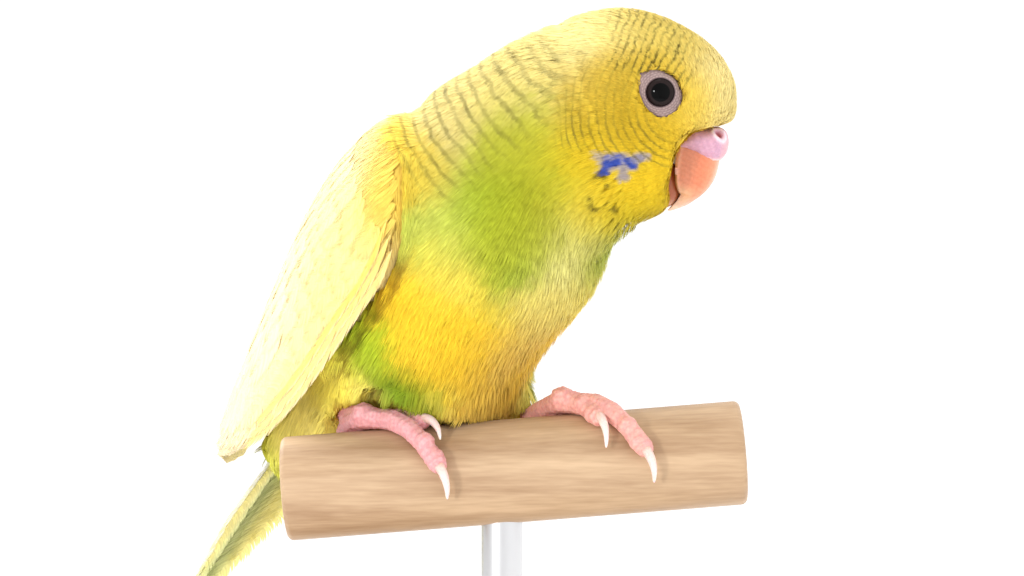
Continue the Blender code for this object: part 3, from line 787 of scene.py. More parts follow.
def flow(points, normals):
    """Which way a feather points from each place, along the skin."""
    trunk, head = local(points, "trunk"), local(points, "head")
    from_bill = points - BILL_ROOT
    to_tail = unit(TAIL_ROOT - points)
    on_body = smooth(14 * MM, 34 * MM, np.linalg.norm(from_bill, axis=1))[:, None]
    way = unit(from_bill) * (1 - on_body) + to_tail * on_body
    belly = smooth(14, 4, trunk[:, 0]) * smooth(3, 10, np.abs(trunk[:, 1])) * smooth(-4, -10, trunk[:, 2])
    way = way + 0.3 * belly[:, None] * DOWN
    for foot in FOOT_AT.values():
        close = smooth(10 * MM, 4 * MM, np.linalg.norm(points - foot - (0, 4 * MM, 6 * MM), axis=1))
        close *= smooth(-5 * MM, -1 * MM, points[:, 0] - foot[0])
        way = way + 0.5 * close[:, None] * unit(foot - points)
    # Round the eye they never point inward
    from_eye = head[:, (0, 2)] - EYE_AT[[0, 2]]
    eye_away = np.linalg.norm(from_eye, axis=1)
    outward = (from_eye / (eye_away[:, None] + 1e-9)) @ HEAD[1][[0, 2]]
    near_eye = smooth(5.6, 3.4, eye_away) * smooth(6, 8, np.abs(head[:, 1]))
    inward = np.clip(-(way * outward).sum(1), 0, None)
    way = way + (near_eye * (inward + 0.35))[:, None] * outward
    way = unit(way) + 0.06 * wobble(points, 2.5)[:, None] * np.cross(normals, unit(way))
    way -= normals * (way * normals).sum(1, keepdims=True)
    return unit(way)


print("flow at the crown:", flow(world([(0, 0, 13)], "head"), np.array([[0, 0, 1.0]])).round(2))

# %% [markdown]
# The plumage's material takes the ground colour from the mesh and draws the bars into it, a little
# unevenly, as the barbs of real feathers do. Each barb is a touch lighter or darker than the next.

# %% The plumage's material
def plumage(name, bar_colour):
    made = new_material(name, 0.6, Sheen_Weight=0.02, Sheen_Roughness=0.5, Specular_IOR_Level=0.12)
    fleck = stored(made, "fleck")
    uneven = reckon(made, "MULTIPLY_ADD", speckle(made, 0.4 * MM, 3.0), 0.14, stored(made, "row"))
    uneven = reckon(made, "MULTIPLY_ADD", fleck, 0.2, uneven)
    wave = reckon(made, "SINE", reckon(made, "MULTIPLY", uneven, 2 * math.pi))
    line = mapped(made, wave, (0.25, 0.98), kind="SMOOTHSTEP")
    share = reckon(made, "MULTIPLY", line, stored(made, "power"))
    colour = between(made, share, stored(made, "ground", "Color"), bar_colour)
    toned(made, colour, mapped(made, fleck, (0, 1), (0.79, 1.16)))
    return made


coat_material = plumage("plumage", (0.135, 0.11, 0.022))


def store(mesh, name, kind, values):
    """One value for each corner point of the mesh."""
    layer = mesh.attributes.new(name, kind, "POINT")
    key = "color" if kind == "FLOAT_COLOR" else "value"
    layer.data.foreach_set(key, np.ascontiguousarray(values, np.float32).ravel())


def mark(mesh, colour, **numbers):
    """Stores the markings at each point of a mesh."""
    store(mesh, "ground", "FLOAT_COLOR", np.c_[colour, np.ones(len(colour))])
    for name, values in numbers.items():
        store(mesh, name, "FLOAT", values)


UNDER_WING_SHADE = (0.30, 0.19, 0.03)
SKIN_SHADE = 0.9  # the skin between the feathers is a little darker than they are
on_wing = skin_part >= FIRST_WING
skin_colour = np.where(on_wing[:, None], wing_colour(skin_points), marked_colour(skin_points))
below, count = below_wing(skin_points)
# Painted shade: the wing's skin at and just under its lower border is mixed towards a dark brown, the shade
# under the wing's edge
wall = 0.8 * count * on_wing * smooth(-1.4, -0.5, below) * smooth(16, 11, local(skin_points, "trunk")[:, 0])
skin_colour = SKIN_SHADE * mix(skin_colour, wall, UNDER_WING_SHADE)
row, power = bars(skin_points)
mark(skin.data, skin_colour, row=row, power=power * ~on_wing, fleck=np.full(len(row), 0.4))
finish_piece(skin, coat_material, "body_plumage", *FLESH)

# %% [markdown]
# A small feather is drawn as its barbs: slim ribbons that start close together and fan out. One could
# use hair curves, but a lasting model needs real faces. A pattern of ribbons is drawn once for each
# kind of feather, in the feather's own measure (along it, across it and up), and then laid over the
# skin as often as needed: a line is walked from each root along the flow, and the pattern bends with it.

# %% Patterns of barbs
# A pattern's rows hold: place along, place across, height, tone, and how near it is to the feather's rim
def tuft_pattern(barbs, steps, spread, slim, seed):
    """A loose tuft: ribbons from one root, the middle ones longest."""
    draw = np.random.default_rng(seed)
    rows, cells = [], []
    for barb in range(barbs):
        across = 2 * (barb + 0.5) / barbs - 1
        reach = (1 - 0.28 * across ** 2) * draw.uniform(0.80, 1.0)
        root, tip = 0.45 * across, spread * across + draw.normal(0, 0.06)
        lean, rise, fleck = draw.normal(0, 0.25), draw.uniform(-0.10, 0.10), draw.uniform(0, 1)
        start = len(rows)
        for step in range(steps + 1):
            share = step / steps
            middle = root + (tip - root) * share ** 0.8
            wide = slim * float(np.interp(share, [0, 0.5, 0.85, 1], [0.8, 1.0, 0.7, 0]))
            for edge in ((-1, 1) if step < steps else (0,)):
                across = middle + edge * wide
                rows.append((share * reach, across, rise + edge * lean * wide, fleck, share))
        for step in range(steps - 1):
            here = start + 2 * step
            cells.append((here, here + 2, here + 3, here + 1))
        here = start + 2 * (steps - 1)
        cells.append((here, here + 2, here + 1))
    return np.array(rows), cells


print("a loose tuft has about", len(tuft_pattern(12, 3, 0.95, 0.075, 0)[1]), "faces")

# %% [markdown]
# Coverts and long feathers have closed vanes: their barbs leave a shaft on both sides, slant towards
# the tip and lie side by side. The same slim ribbons serve, with a stiff shaft for the long ones.

# %% Closed vanes
def vane_pattern(barbs, steps, shape, slim, seed, slant=0.20, ragged=0.03, shaft=0.03):
    """A closed vane: ribbons that leave a shaft on both sides and slant towards the tip."""
    draw = np.random.default_rng(seed)
    rows, cells = [], []
    for side in (-1, 1):
        for barb in range(barbs):
            start_at = 0.01 + 0.93 * barb / (barbs - 1)
            wide = shape(min(start_at + 0.7 * slant, 1.0))
            end_at = min(start_at + slant * (0.6 + 0.5 * wide), 1.0 - 0.004 * (barbs - 1 - barb))
            end_at += draw.normal(0, ragged * 0.4)
            reach = wide * (1 - ragged * draw.random())
            fleck, rise = draw.uniform(0, 1), draw.uniform(-0.01, 0.01)
            start = len(rows)
            for step in range(steps + 1):
                share = step / steps
                along = start_at + (end_at - start_at) * share ** 1.3
                across = side * reach * share ** 0.9
                half = slim * (1 - 0.3 * share)
                for edge in ((-1, 1) if step < steps else (0,)):
                    height = rise - 0.07 * share ** 2 + 0.015 * edge
                    rows.append((along + edge * half, across, height, fleck, share * reach))
            for step in range(steps):
                here = start + 2 * step
                last = step == steps - 1
                cell = (here, here + 1, here + 2) if last else (here, here + 1, here + 3, here + 2)
                cells.append(cell if side > 0 else cell[::-1])
    if shaft:
        start = len(rows)
        for step in range(7):
            share = step / 6
            for edge in (-1, 0, 1):
                across = edge * shaft * (1 - 0.85 * share)
                height = 0.02 + 0.05 * (1 - abs(edge)) * (1 - share)
                rows.append((share * 0.97, across, height, 0.9, 0.6))
        for step in range(6):
            for edge in (0, 1):
                here = start + 3 * step + edge
                cells.append((here, here + 3, here + 4, here + 1))
    return np.array(rows), cells


print("a small closed vane has", len(vane_pattern(34, 3, lambda share: 1.0, 0.021, 0)[1]), "faces")

# %% [markdown]
# Five kinds of feather are enough: tiny ones for the face, soft ones for the head and neck, long loose
# ones for the body, coverts for the wings, and long stiff ones for wings and tail. Each kind gets a few
# patterns that differ by chance, so that neighbours don't look alike.

# %% The kinds of feather
def covert_shape(share):
    """The half width of a small covert along its length: broad, with a round end."""
    return float(np.interp(share, [0, 0.2, 0.5, 0.75, 0.9, 1.0], [0.5, 0.85, 1.0, 0.92, 0.65, 0.3]))


def flight_shape(share):
    """A long feather's: narrow, even, with a round end."""
    return float(np.interp(share, [0, 0.1, 0.3, 0.8, 0.93, 1.0], [0.35, 0.75, 0.95, 1.0, 0.75, 0.25]))


FACE_TUFTS = [tuft_pattern(9, 2, 0.95, 0.10, 20 + seed) for seed in range(4)]
SOFT_TUFTS = [tuft_pattern(12, 3, 0.95, 0.075, seed) for seed in range(5)]
LONG_TUFTS = [tuft_pattern(15, 4, 0.95, 0.06, 40 + seed) for seed in range(5)]
COVERTS = [vane_pattern(34, 3, covert_shape, 0.021, 60 + seed, 0.26, 0.04, 0) for seed in range(4)]
FLIGHTS = [vane_pattern(110, 3, flight_shape, 0.0062, 70 + seed, 0.07, 0.03, 0.045) for seed in range(3)]
for kind in (FACE_TUFTS, SOFT_TUFTS, LONG_TUFTS, COVERTS, FLIGHTS):
    print("a pattern of", sum(len(cell) - 2 for cell in kind[0][1]), "triangles")

# %% [markdown]
# A feather follows the skin. From its root a line is walked along the flow, and after each short step
# its place is brought back to the skin.

# %% Walking over the skin
class Ground:
    """A surface that feathers lie on."""

    def __init__(self, points, normals, faces, layout=None):
        self.points, self.normals, self.faces, self.layout = points, normals, faces, layout
        self.tree = BVHTree.FromPolygons(points.tolist(), faces.tolist())

    def snap(self, points):
        """The nearest places on it, with its rounded normals there and the faces they are on."""
        places, found = np.empty_like(points), np.empty(len(points), int)
        for index, point in enumerate(points.tolist()):
            places[index], _, found[index], _ = self.tree.find_nearest(point)
        corners = self.points[self.faces[found]]
        near = 1 / (np.linalg.norm(corners - places[:, None], axis=2) + 0.02 * MM)
        return places, unit((self.normals[self.faces[found]] * near[:, :, None]).sum(1)), found


on_body = Ground(skin_points, skin_normals, skin_faces, skin_layout)


def walk(ground, roots, lengths, stations=5):
    """The line of each feather over the ground: places, and the directions across and up there."""
    place, up, faces = ground.snap(roots)
    places, ups = [place], [up]
    step = lengths / (stations - 1)
    for _ in range(stations - 1):
        ahead = places[-1] + flow(places[-1], ups[-1]) * step[:, None]
        landed, up, _ = ground.snap(ahead)
        far = np.linalg.norm(landed - ahead, axis=1) > 0.6 * step
        landed[far], up[far] = ahead[far], ups[-1][far]
        places.append(landed)
        ups.append(unit(up + 0.5 * ups[-1]))
    line, up = np.stack(places, 1), np.stack(ups, 1)
    along = unit(np.gradient(line, axis=1))
    across = unit(np.cross(up, along))
    return line, across, unit(np.cross(along, across)), faces


print("the skin to walk on has", len(on_body.faces), "triangles")

# %% [markdown]
# Tens of thousands of separate feathers would be slow to handle, so all feathers of a kind are one
# joined mesh, built from arrays. On its map each feather has a small patch of its own, at the place of
# its root on the skin's layout.

# %% One mesh for many feathers
HALF_PATCH = 0.0015  # from the middle of a feather's patch on the map to its side


def patches(count, faces):
    """The middle of each feather's patch on the map, and half the patches' size."""
    if faces is None:
        side = math.ceil(math.sqrt(count))
        return (np.stack(np.divmod(np.arange(count), side), 1) + 0.5) / side, 0.45 / side
    middle = on_body.layout[faces].mean(1)
    low, high = middle.min(0), middle.max(0)
    return 0.005 + 0.99 * (middle - low) / (high - low), HALF_PATCH


def new_mesh(name, points, cells, spots):
    """A mesh from its points, its faces in groups of one size, and each point's place on the map."""
    corners = np.concatenate([some.ravel() for some in cells])
    sizes = np.concatenate([np.full(len(some), some.shape[1]) for some in cells])
    mesh = bpy.data.meshes.new(name)
    mesh.vertices.add(len(points))
    mesh.vertices.foreach_set("co", points.astype(np.float32).ravel())
    mesh.loops.add(len(corners))
    mesh.loops.foreach_set("vertex_index", corners.astype(np.int32))
    mesh.polygons.add(len(sizes))
    mesh.polygons.foreach_set("loop_start", np.r_[0, np.cumsum(sizes)[:-1]].astype(np.int32))
    mesh.polygons.foreach_set("loop_total", sizes.astype(np.int32))
    mesh.update(calc_edges=True)
    mesh.uv_layers.new(name="OFBake")
    mesh.uv_layers["OFBake"].data.foreach_set("uv", spots[corners].astype(np.float32).ravel())
    return mesh, int((sizes - 2).sum())


print("the first of nine patches lies at", patches(9, None)[0][0].round(3))

# %% [markdown]
# A pattern is flat and straight. Along a feather's line it is bent with the skin and lifted from root to
# tip, so that each feather's tip lies over the roots of the next ones.

# %% Bending a pattern
def bent(rows, line, across, up, root_heights, tip_heights, widths, on_skin):
    """A pattern's points along each of these feathers' lines, and the direction up at each of them."""
    stations = line.shape[1]
    rise = np.clip(rows[:, 0], 0, 1)
    spot = rise * (stations - 1)
    here = np.minimum(spot.astype(int), stations - 2)
    part = (spot - here)[None, :, None]
    at, over, out = (some[:, here] * (1 - part) + some[:, here + 1] * part for some in (line, across, up))
    rise = 1 - (1 - rise) ** 1.7 if on_skin else rise
    low, high, width = (some[:, None] for some in (root_heights, tip_heights, widths))
    height = low + (high - low) * rise + rows[:, 2] * width
    return at + over * (rows[:, 1] * width)[:, :, None] + out * height[:, :, None], out


print("a feather's line has", walk(on_body, skin_points[:1], np.full(1, MM))[0].shape[1], "places")

# %% [markdown]
# One function lays every kind of feather, and stores the colours and bars at each point. Chance makes
# each feather a little its own: its pattern, its tone, how far its bar is shifted and how dark it is.

# %% Laying feathers over the skin
TONE_SPREAD = 0.08  # how much one feather is lighter or darker than the next
DARK_TIP = 0.38  # how much darker a feather's tip is where the tips are dark


def lay(name, patterns, roots, lengths, widths, lifts, tips, material, slot, colour_of, blur=0.4, soft=0.85,
        rim=None, lines=None, faces=None, stray=0.0, barred=True):
    """Lays one feather at each root, as one joined mesh. lifts and tips are its heights at root and tip.
    Long feathers come with lines of their own: places, and the directions across and up there. blur is
    how much of the root's colour it keeps, and stray from how far, in mm, it may take it."""
    if lines is None:
        line, across, up, faces = walk(on_body, roots, lengths)
    else:
        line, across, up = lines
    kind = chance.integers(0, len(patterns), len(roots))
    tone = chance.normal(0, TONE_SPREAD, len(roots))
    on_crown = smooth(0, 8, sided(line[:, 0], "head")[:, 2])
    shift = chance.normal(0, 1, len(roots)) * (0.05 + 0.08 * on_crown)
    vigour = chance.uniform(0.65 - 0.4 * on_crown, 1.15)
    astray = chance.normal(0, 1, (len(roots), 1, 3)) * stray * MM
    patch, patch_size = patches(len(roots), faces)
    made = {key: [] for key in ("points", "fleck", "spots", "up", "sample", "edge", "shift", "vigour")}
    cells, base = [], 0
    for number, (rows, pattern) in enumerate(patterns):
        mine = np.flatnonzero(kind == number)
        if not len(mine):
            continue
        mine_of = (some[mine] for some in (line, across, up, lifts, tips, widths))
        points, out = bent(rows, *mine_of, on_skin=lines is None)
        own = np.stack([np.clip(rows[:, 1], -1, 1), 2 * np.clip(rows[:, 0], 0, 1) - 1], 1)
        root = line[mine][:, :1]
        made["points"].append(points.reshape(-1, 3))
        made["sample"].append((root + (points - root) * (1 - blur) + astray[mine]).reshape(-1, 3))
        made["up"].append(out.reshape(-1, 3))
        made["fleck"].append((rows[None, :, 3] * 0.7 + 0.15 + tone[mine][:, None]).ravel())
        made["edge"].append(np.tile(rows[:, 4], len(mine)))
        made["shift"].append(np.repeat(shift[mine], len(rows)))
        made["vigour"].append(np.repeat(vigour[mine], len(rows)))
        made["spots"].append((patch[mine][:, None] + patch_size * own[None]).reshape(-1, 2))
        starts = base + np.arange(len(mine)) * len(rows)
        for size in (3, 4):
            pick = np.array([cell for cell in pattern if len(cell) == size])
            cells.append((starts[:, None, None] + pick[None]).reshape(-1, size))
        base += len(mine) * len(rows)
    points, fleck, spots, out, sample, edge, shift, vigour = (np.concatenate(some) for some in made.values())
    mesh, triangles = new_mesh(name, points, cells, spots)
    row, power = bars(points)
    colour, power = colour_of(sample), np.clip(power * vigour * barred, 0, 1)
    if rim:
        colour = mix(colour, smooth(0.35, 1.0, edge) * rim[1], rim[0])
    if barred:
        colour = colour * (1 - DARK_TIP * (smooth(0.55, 0.95, edge) * dark_tips(points))[:, None])
    mark(mesh, colour, row=row + shift, power=power, fleck=np.clip(fleck, 0, 1))
    thing = bpy.data.objects.new(name, mesh)
    scene.collection.objects.link(thing)
    finish_piece(thing, material, slot)
    own = np.empty(len(points) * 3, np.float32)
    mesh.vertex_normals.foreach_get("vector", own)
    mesh.normals_split_custom_set_from_vertices(unit(soft * out + (1 - soft) * own.reshape(-1, 3)))
    print(f"{name}: {len(roots)} feathers, {triangles} triangles")
    return thing


print("soft patterns:", len(FACE_TUFTS), "for the face and", len(SOFT_TUFTS + LONG_TUFTS), "for the rest")

# %% [markdown]
# Roots are scattered evenly: many random places on the skin are tried in turn, and one stays if no
# kept one is closer than the feathers' spacing there. The feathers are smallest at the bill and
# longest on the belly.

# %% Roots and sizes
area_corners = skin_points[skin_faces]
face_middle = area_corners.mean(1)
face_area = np.linalg.norm(
    np.cross(area_corners[:, 1] - area_corners[:, 0], area_corners[:, 2] - area_corners[:, 0]), axis=1
) / 2
face_of_part = skin_part[skin_faces[:, 0]]


def scatter(faces, gap, tries=6.0):
    """Places on these faces that keep the gap from each other."""
    tries = int(tries * face_area[faces].sum() / gap ** 2)
    chosen = chance.choice(faces, tries, p=face_area[faces] / face_area[faces].sum())
    share = chance.random((tries, 2))
    share[share.sum(1) > 1] = 1 - share[share.sum(1) > 1]
    corners = area_corners[chosen]
    places = corners[:, 0] + share[:, :1] * (corners[:, 1] - corners[:, 0])
    places += share[:, 1:] * (corners[:, 2] - corners[:, 0])
    spots = (places / gap).tolist()
    cells = np.floor(places / gap).astype(int).tolist()
    around = [(i, j, k) for i in (-1, 0, 1) for j in (-1, 0, 1) for k in (-1, 0, 1)]
    grid, kept = {}, []
    for index, ((a, b, c), (x, y, z)) in enumerate(zip(cells, spots)):
        near = (grid.get((a + i, b + j, c + k)) for i, j, k in around)
        if any(o and (x - o[0]) ** 2 + (y - o[1]) ** 2 + (z - o[2]) ** 2 < 1 for o in near):
            continue
        grid[(a, b, c)] = (x, y, z)
        kept.append(index)
    return places[kept]


def feather_size(points):
    """How long and how wide (from the middle) the feathers are at each place, in metres."""
    from_bill = np.linalg.norm(points - BILL_ROOT, axis=1) / MM
    long = np.interp(from_bill, [5, 9, 16, 28, 45, 70], [0.9, 1.4, 2.3, 3.5, 5.2, 6.8])
    for foot in FOOT_AT.values():
        long = long * (1 - 0.35 * smooth(13, 7, np.linalg.norm(points - foot - (0, 0, 3 * MM), axis=1) / MM))
    wide = np.interp(from_bill, [5, 9, 16, 28, 45, 70], [0.30, 0.42, 0.58, 0.85, 1.25, 1.7])
    return long * MM * chance.uniform(0.85, 1.15, len(points)), wide * MM


def part_at(points):
    return np.array([face_part[flesh_tree.find_nearest(Vector(p))[2]] for p in points])


print("roots can go on", len(skin_faces), "faces")

# %% [markdown]
# The coat is laid in seven pieces, from the face, where the feathers are barely a millimetre long, to
# the back. Each piece has its own spacing and its own kind of feather.

# %% The coat of head, neck and body
# Each piece of coat: its name, the faces it grows on, the gap from root to root in mm, and its pattern
is_head, is_neck = face_of_part == HEAD_PART, face_of_part == NECK_PART
is_body = (face_of_part > NECK_PART) & (face_of_part < FIRST_WING)
face_head, face_trunk = sided(face_middle, "head"), local(face_middle, "trunk")
bill_away = np.linalg.norm(face_middle - BILL_ROOT, axis=1) / MM
# The bare parts: before the line along the cere and the bill, and within the lids' border
x, y, z = face_head.T
bare = (x > np.interp(z, EDGE_UP, EDGE_FORWARD)) & (z < -2.3) & (z > -14)
around_eye = face_head[:, (0, 2)] - EYE_AT[[0, 2]]
lid_here = np.interp(np.arctan2(*around_eye.T[::-1]), border_turn, border_radius, period=2 * math.pi)
bare |= (np.linalg.norm(around_eye, axis=1) < lid_here + 0.2) & (y > 6)
breast = is_body & (face_trunk[:, 2] < 2)
COATS = [
    ("coat_face", is_head & ~bare & (bill_away < 13), 0.36, FACE_TUFTS, "head_plumage"),
    ("coat_cheeks", is_head & ~bare & (bill_away >= 13) & (bill_away < 19), 0.48, SOFT_TUFTS, "head_plumage"),
    ("coat_crown", is_head & (bill_away >= 19), 0.62, SOFT_TUFTS, "head_plumage"),
    ("coat_neck", is_neck, 0.67, SOFT_TUFTS, "neck_plumage"),
    ("coat_breast", breast & (face_trunk[:, 0] > 12), 0.78, LONG_TUFTS, "body_plumage"),
    ("coat_belly", breast & (face_trunk[:, 0] <= 12), 1.07, LONG_TUFTS, "body_plumage"),
    ("coat_back", is_body & ~breast, 1.25, LONG_TUFTS, "body_plumage"),
]
for name, faces, gap, patterns, slot in COATS:
    roots = scatter(np.flatnonzero(faces), gap * MM)
    long, wide = feather_size(roots)
    deep = coat_depth(roots, part_at(roots))
    spots = sided(roots, "head")
    chin = hill(spots, (3.5, 0, -17.5), (5, 7, 4))
    small = slot == "head_plumage"
    high = deep * chance.uniform(0.97, 1.07 if small else 1.16, len(roots)) + 0.3 * MM * chin
    lay(
        name, patterns, roots, long, wide, 0.2 * deep, high, coat_material, slot, marked_colour,
        blur=0.2 if small else 0.35, stray=0.15 if small else 0.4 if slot == "neck_plumage" else 0.6,
    )

# %% [markdown]
# Where the body comes down to the perch, its lowest feathers leave the skin and hang free, and so close
# the gap over the feet.

# %% Feathers that hang over the feet
x, y, z = face_middle.T / MM
hem = is_body & (z > 79.5) & (z < 87) & (y < 11) & (np.abs(x + 10) < 26)
roots = scatter(np.flatnonzero(hem), 0.85 * MM)
roots = roots[chance.random(len(roots)) < smooth(87, 82, roots[:, 2] / MM)]
places, up, faces = on_body.snap(roots)
to_foot = np.min([np.linalg.norm((roots - foot)[:, :2], axis=1) for foot in FOOT_AT.values()], axis=0) / MM
end = PERCH_TOP.z + (2.6 * smooth(8, 5, to_foot) - 0.2) * MM
long = np.clip(roots[:, 2] - end, 1.2 * MM, 5.5 * MM)
way = unit(0.9 * flow(places, up) - (0, 0, 0.7))
line = places[:, None] + way[:, None] * long[:, None, None] * np.linspace(0, 1, 5)[None, :, None]
across = np.repeat(unit(np.cross(up, way))[:, None], 5, axis=1)
over = unit(np.cross(way[:, None], across))
deep = coat_depth(roots, part_at(roots))
lay(
    "coat_hem", LONG_TUFTS, roots, long, np.full(len(roots), 1.2 * MM), 0.5 * deep, deep, coat_material,
    "body_plumage", marked_colour, lines=(line, across, over), faces=faces, blur=0.35, stray=0.6,
)

# %% [markdown]
# A folded wing is a stack of long feathers under rows of short ones, like slates on a roof. The stack
# is easiest to lay out in the wing's own measure: how far forward along the trunk, and how many
# millimetres in from the wing's lower border, round the trunk's axis.

# %% Lines over the wing
def wing_lines(side, start, end, stations=9, sink=0.75, bow=0.0):
    """Lines over the wing, from starts to ends given as (forward, mm in from the lower border)."""
    start, end = np.atleast_2d(start).astype(float), np.atleast_2d(end).astype(float)
    share = np.linspace(0, 1, stations)[None, :]
    forward = start[:, :1] + (end[:, :1] - start[:, :1]) * share
    inward = start[:, 1:] + (end[:, 1:] - start[:, 1:]) * share + bow * np.sin(np.pi * share)
    radius, low, high = wing_form(forward)
    angle = np.minimum(low + inward / radius, high)
    depth = sink * (1 - 0.7 * smooth(-25, -50, forward))
    out = np.stack([np.zeros_like(angle), side * np.cos(angle), np.sin(angle)], -1)
    spots = out * (radius - depth)[..., None]
    spots[..., 0] = forward
    line = world(spots.reshape(-1, 3), "trunk").reshape(spots.shape)
    up = out @ TRUNK[1]
    along = unit(np.gradient(line, axis=1))
    across = unit(np.cross(up, along))
    return line, across, unit(np.cross(along, across))


def wing_span(forward):
    """How many mm the wing measures round the trunk there, from border to border."""
    radius, low, high = wing_form(np.asarray(forward, float))
    return (high - low) * radius


print("the wing is", wing_span([20.0, 0, -40]).round(1), "mm broad")

# %% [markdown]
# The long feathers come in three sets, named as bird books do: primaries reach to the wing's tip and
# make its lower border, secondaries lie over them, and tertials close the wing against the back.

# %% Long feathers of the wings
wing_material = plumage("wing_plumage", (0.3, 0.25, 0.1))
PRIMARY_TIPS = [-38, -44, -49, -53, -56.5, -59, -61, -62.5, -63.5]
SECONDARY_TIPS = [-31, -36, -40.5, -44.5, -48, -51, -54, -56.5]
TERTIAL_TIPS = [-44, -49, -53, -56]


def both_wings(name, patterns, starts, ends, half, lifts, tips, rim, bow=0.0, stations=9, blur=0.5):
    """Lays the same set of feathers on both wings. Sizes and heights are in mm."""
    pieces = []
    for side in (1, -1):
        shake = chance.normal(0, 1, (len(starts), 2)) * (0.5, 0.25)
        pieces.append(wing_lines(side, starts, np.array(ends) + shake, stations, bow=bow))
    lines = [np.concatenate(both) for both in zip(*pieces)]
    count = len(lines[0])
    half, lifts, tips = (np.resize(np.asarray(value, float), count) * MM for value in (half, lifts, tips))
    lay(
        name, patterns, lines[0][:, 0], None, half, lifts, tips, wing_material, "wing_feathers", wing_colour,
        lines=lines, rim=rim, blur=blur, soft=0.8, barred=False,
    )


count = len(PRIMARY_TIPS)
both_wings(
    "primaries", FLIGHTS, [(16 - 1.5 * i, 2.2 + 0.9 * i) for i in range(count)],
    [(tip, 1.8 + 0.55 * i) for i, tip in enumerate(PRIMARY_TIPS)],
    [2.3] * count, [0.05 * i - 0.45 for i in range(count)], [0.1 + 0.05 * i for i in range(count)],
    ((0.86, 0.74, 0.62), 0.75),
)
count = len(SECONDARY_TIPS)
both_wings(
    "secondaries", FLIGHTS, [(6 - i, 6.0 + 3.0 * i) for i in range(count)],
    [(tip, 2.6 + 0.9 * i) for i, tip in enumerate(SECONDARY_TIPS)],
    [3.0] * count, [0.03 * i - 0.4 for i in range(count)], [0.6 + 0.03 * i for i in range(count)],
    ((0.98, 0.93, 0.60), 0.6), bow=1.0,
)
count = len(TERTIAL_TIPS)
both_wings(
    "tertials", FLIGHTS, [(-2, 28 + 4.0 * i) for i in range(count)],
    [(tip, 12.0 + 2.4 * i) for i, tip in enumerate(TERTIAL_TIPS)],
    [3.3] * count, [0.04 * i - 0.3 for i in range(count)], [0.75 + 0.04 * i for i in range(count)],
    ((0.99, 0.95, 0.66), 0.6), bow=1.0,
)

# %% [markdown]
# Coverts hide the roots of the long feathers. Their rows run across the wing, each row a little shorter
# than the one behind it, and every second row is shifted by half a feather, as slates are.

# %% The coverts, row after row
# Forward at the root, length, half width, and how far apart, in mm
COVERT_ROWS = [
    (-14, 17, 2.9, 3.6), (-8, 15, 2.7, 3.3), (-3, 13.5, 2.5, 3.0), (2, 12, 2.3, 2.7), (6, 10.5, 2.1, 2.4),
    (10, 9.5, 1.9, 2.2), (13, 8.5, 1.8, 2.0), (16, 7.5, 1.7, 1.9),
]
starts, ends, half = [], [], []
for row_number, (forward, length, wide, apart) in enumerate(COVERT_ROWS):
    first = 12.0 if row_number < 2 else wide + 2.2 * (forward < 17)
    for inward in np.arange(first + apart * (row_number % 2) / 2, wing_span(forward) - 0.5, apart):
        ahead, aside = chance.normal(0, 0.5), chance.normal(0, 0.3)
        share = (inward + aside) / wing_span(forward)
        starts.append((forward + ahead, inward + aside))
        ends.append((forward + ahead - length, max(share * wing_span(forward - length), wide + 2.3)))
        half.append(wide)
both_wings(
    "coverts", COVERTS, starts, ends, half, 0.35, 0.7, ((0.94, 0.80, 0.42), 0.3), stations=5,
)

# Three long narrow feathers give the wing its clean pale border
both_wings(
    "border_feathers", FLIGHTS, [(15.5, 0.6), (17.0, 1.9), (18.5, 3.1)], [(-42, 0.5), (-39, 1.5), (-36, 2.6)],
    [1.15, 1.0, 0.95], [0.35, 0.5, 0.65], [0.35, 0.5, 0.65], ((0.88, 0.72, 0.58), 0.7), blur=0.9,
)

# %% [markdown]
# The wing's leading edge and the shoulder carry soft small feathers of a warmer yellow.

# %% Small feathers at the bend of the wing
BEND_SIZES = (4.2, 0.9, 0.35, 0.8)  # length, half width, and heights at root and tip, in mm
bend = (face_of_part >= FIRST_WING) & (face_trunk[:, 0] > 5)
roots = scatter(np.flatnonzero(bend), 0.75 * MM)
roots = roots[chance.random(len(roots)) < smooth(6, 15, local(roots, "trunk")[:, 0])]
sizes = [np.full(len(roots), size * MM) for size in BEND_SIZES]
lay("wing_bend", SOFT_TUFTS, roots, *sizes, wing_material, "wing_feathers", wing_colour, barred=False)

# %% [markdown]
# The tail is a stack too: twelve feathers, the middle pair longest and on top, each pair further out
# shorter and lower. The photograph doesn't show the tail's end, so its shape follows the species.

# %% The tail
# Forward, height over the trunk's axis, half width, in mm
TAIL_FORM = np.array([
    (-40, 9.0, 5.6), (-48, 9.5, 6.6), (-62, 10.4, 7.0), (-74, 11.0, 6.6), (-86, 11.5, 5.2), (-96, 11.9, 4.0),
    (-106, 12.4, 2.9), (-113, 12.6, 1.2),
])
TAIL_TIPS = [-112, -105, -97, -89, -82, -76]


def tail_colour(points):
    spots = sided(points, "trunk")
    middle = smooth(3.5, 0.5, spots[:, 1])[:, None]
    green = smooth(-60, -45, spots[:, 0])[:, None] * 0.5
    colour = (1 - middle) * np.array((0.93, 0.84, 0.30)) + middle * np.array((0.66, 0.72, 0.30))
    return colour * (1 - green) + green * np.array((0.60, 0.60, 0.05))


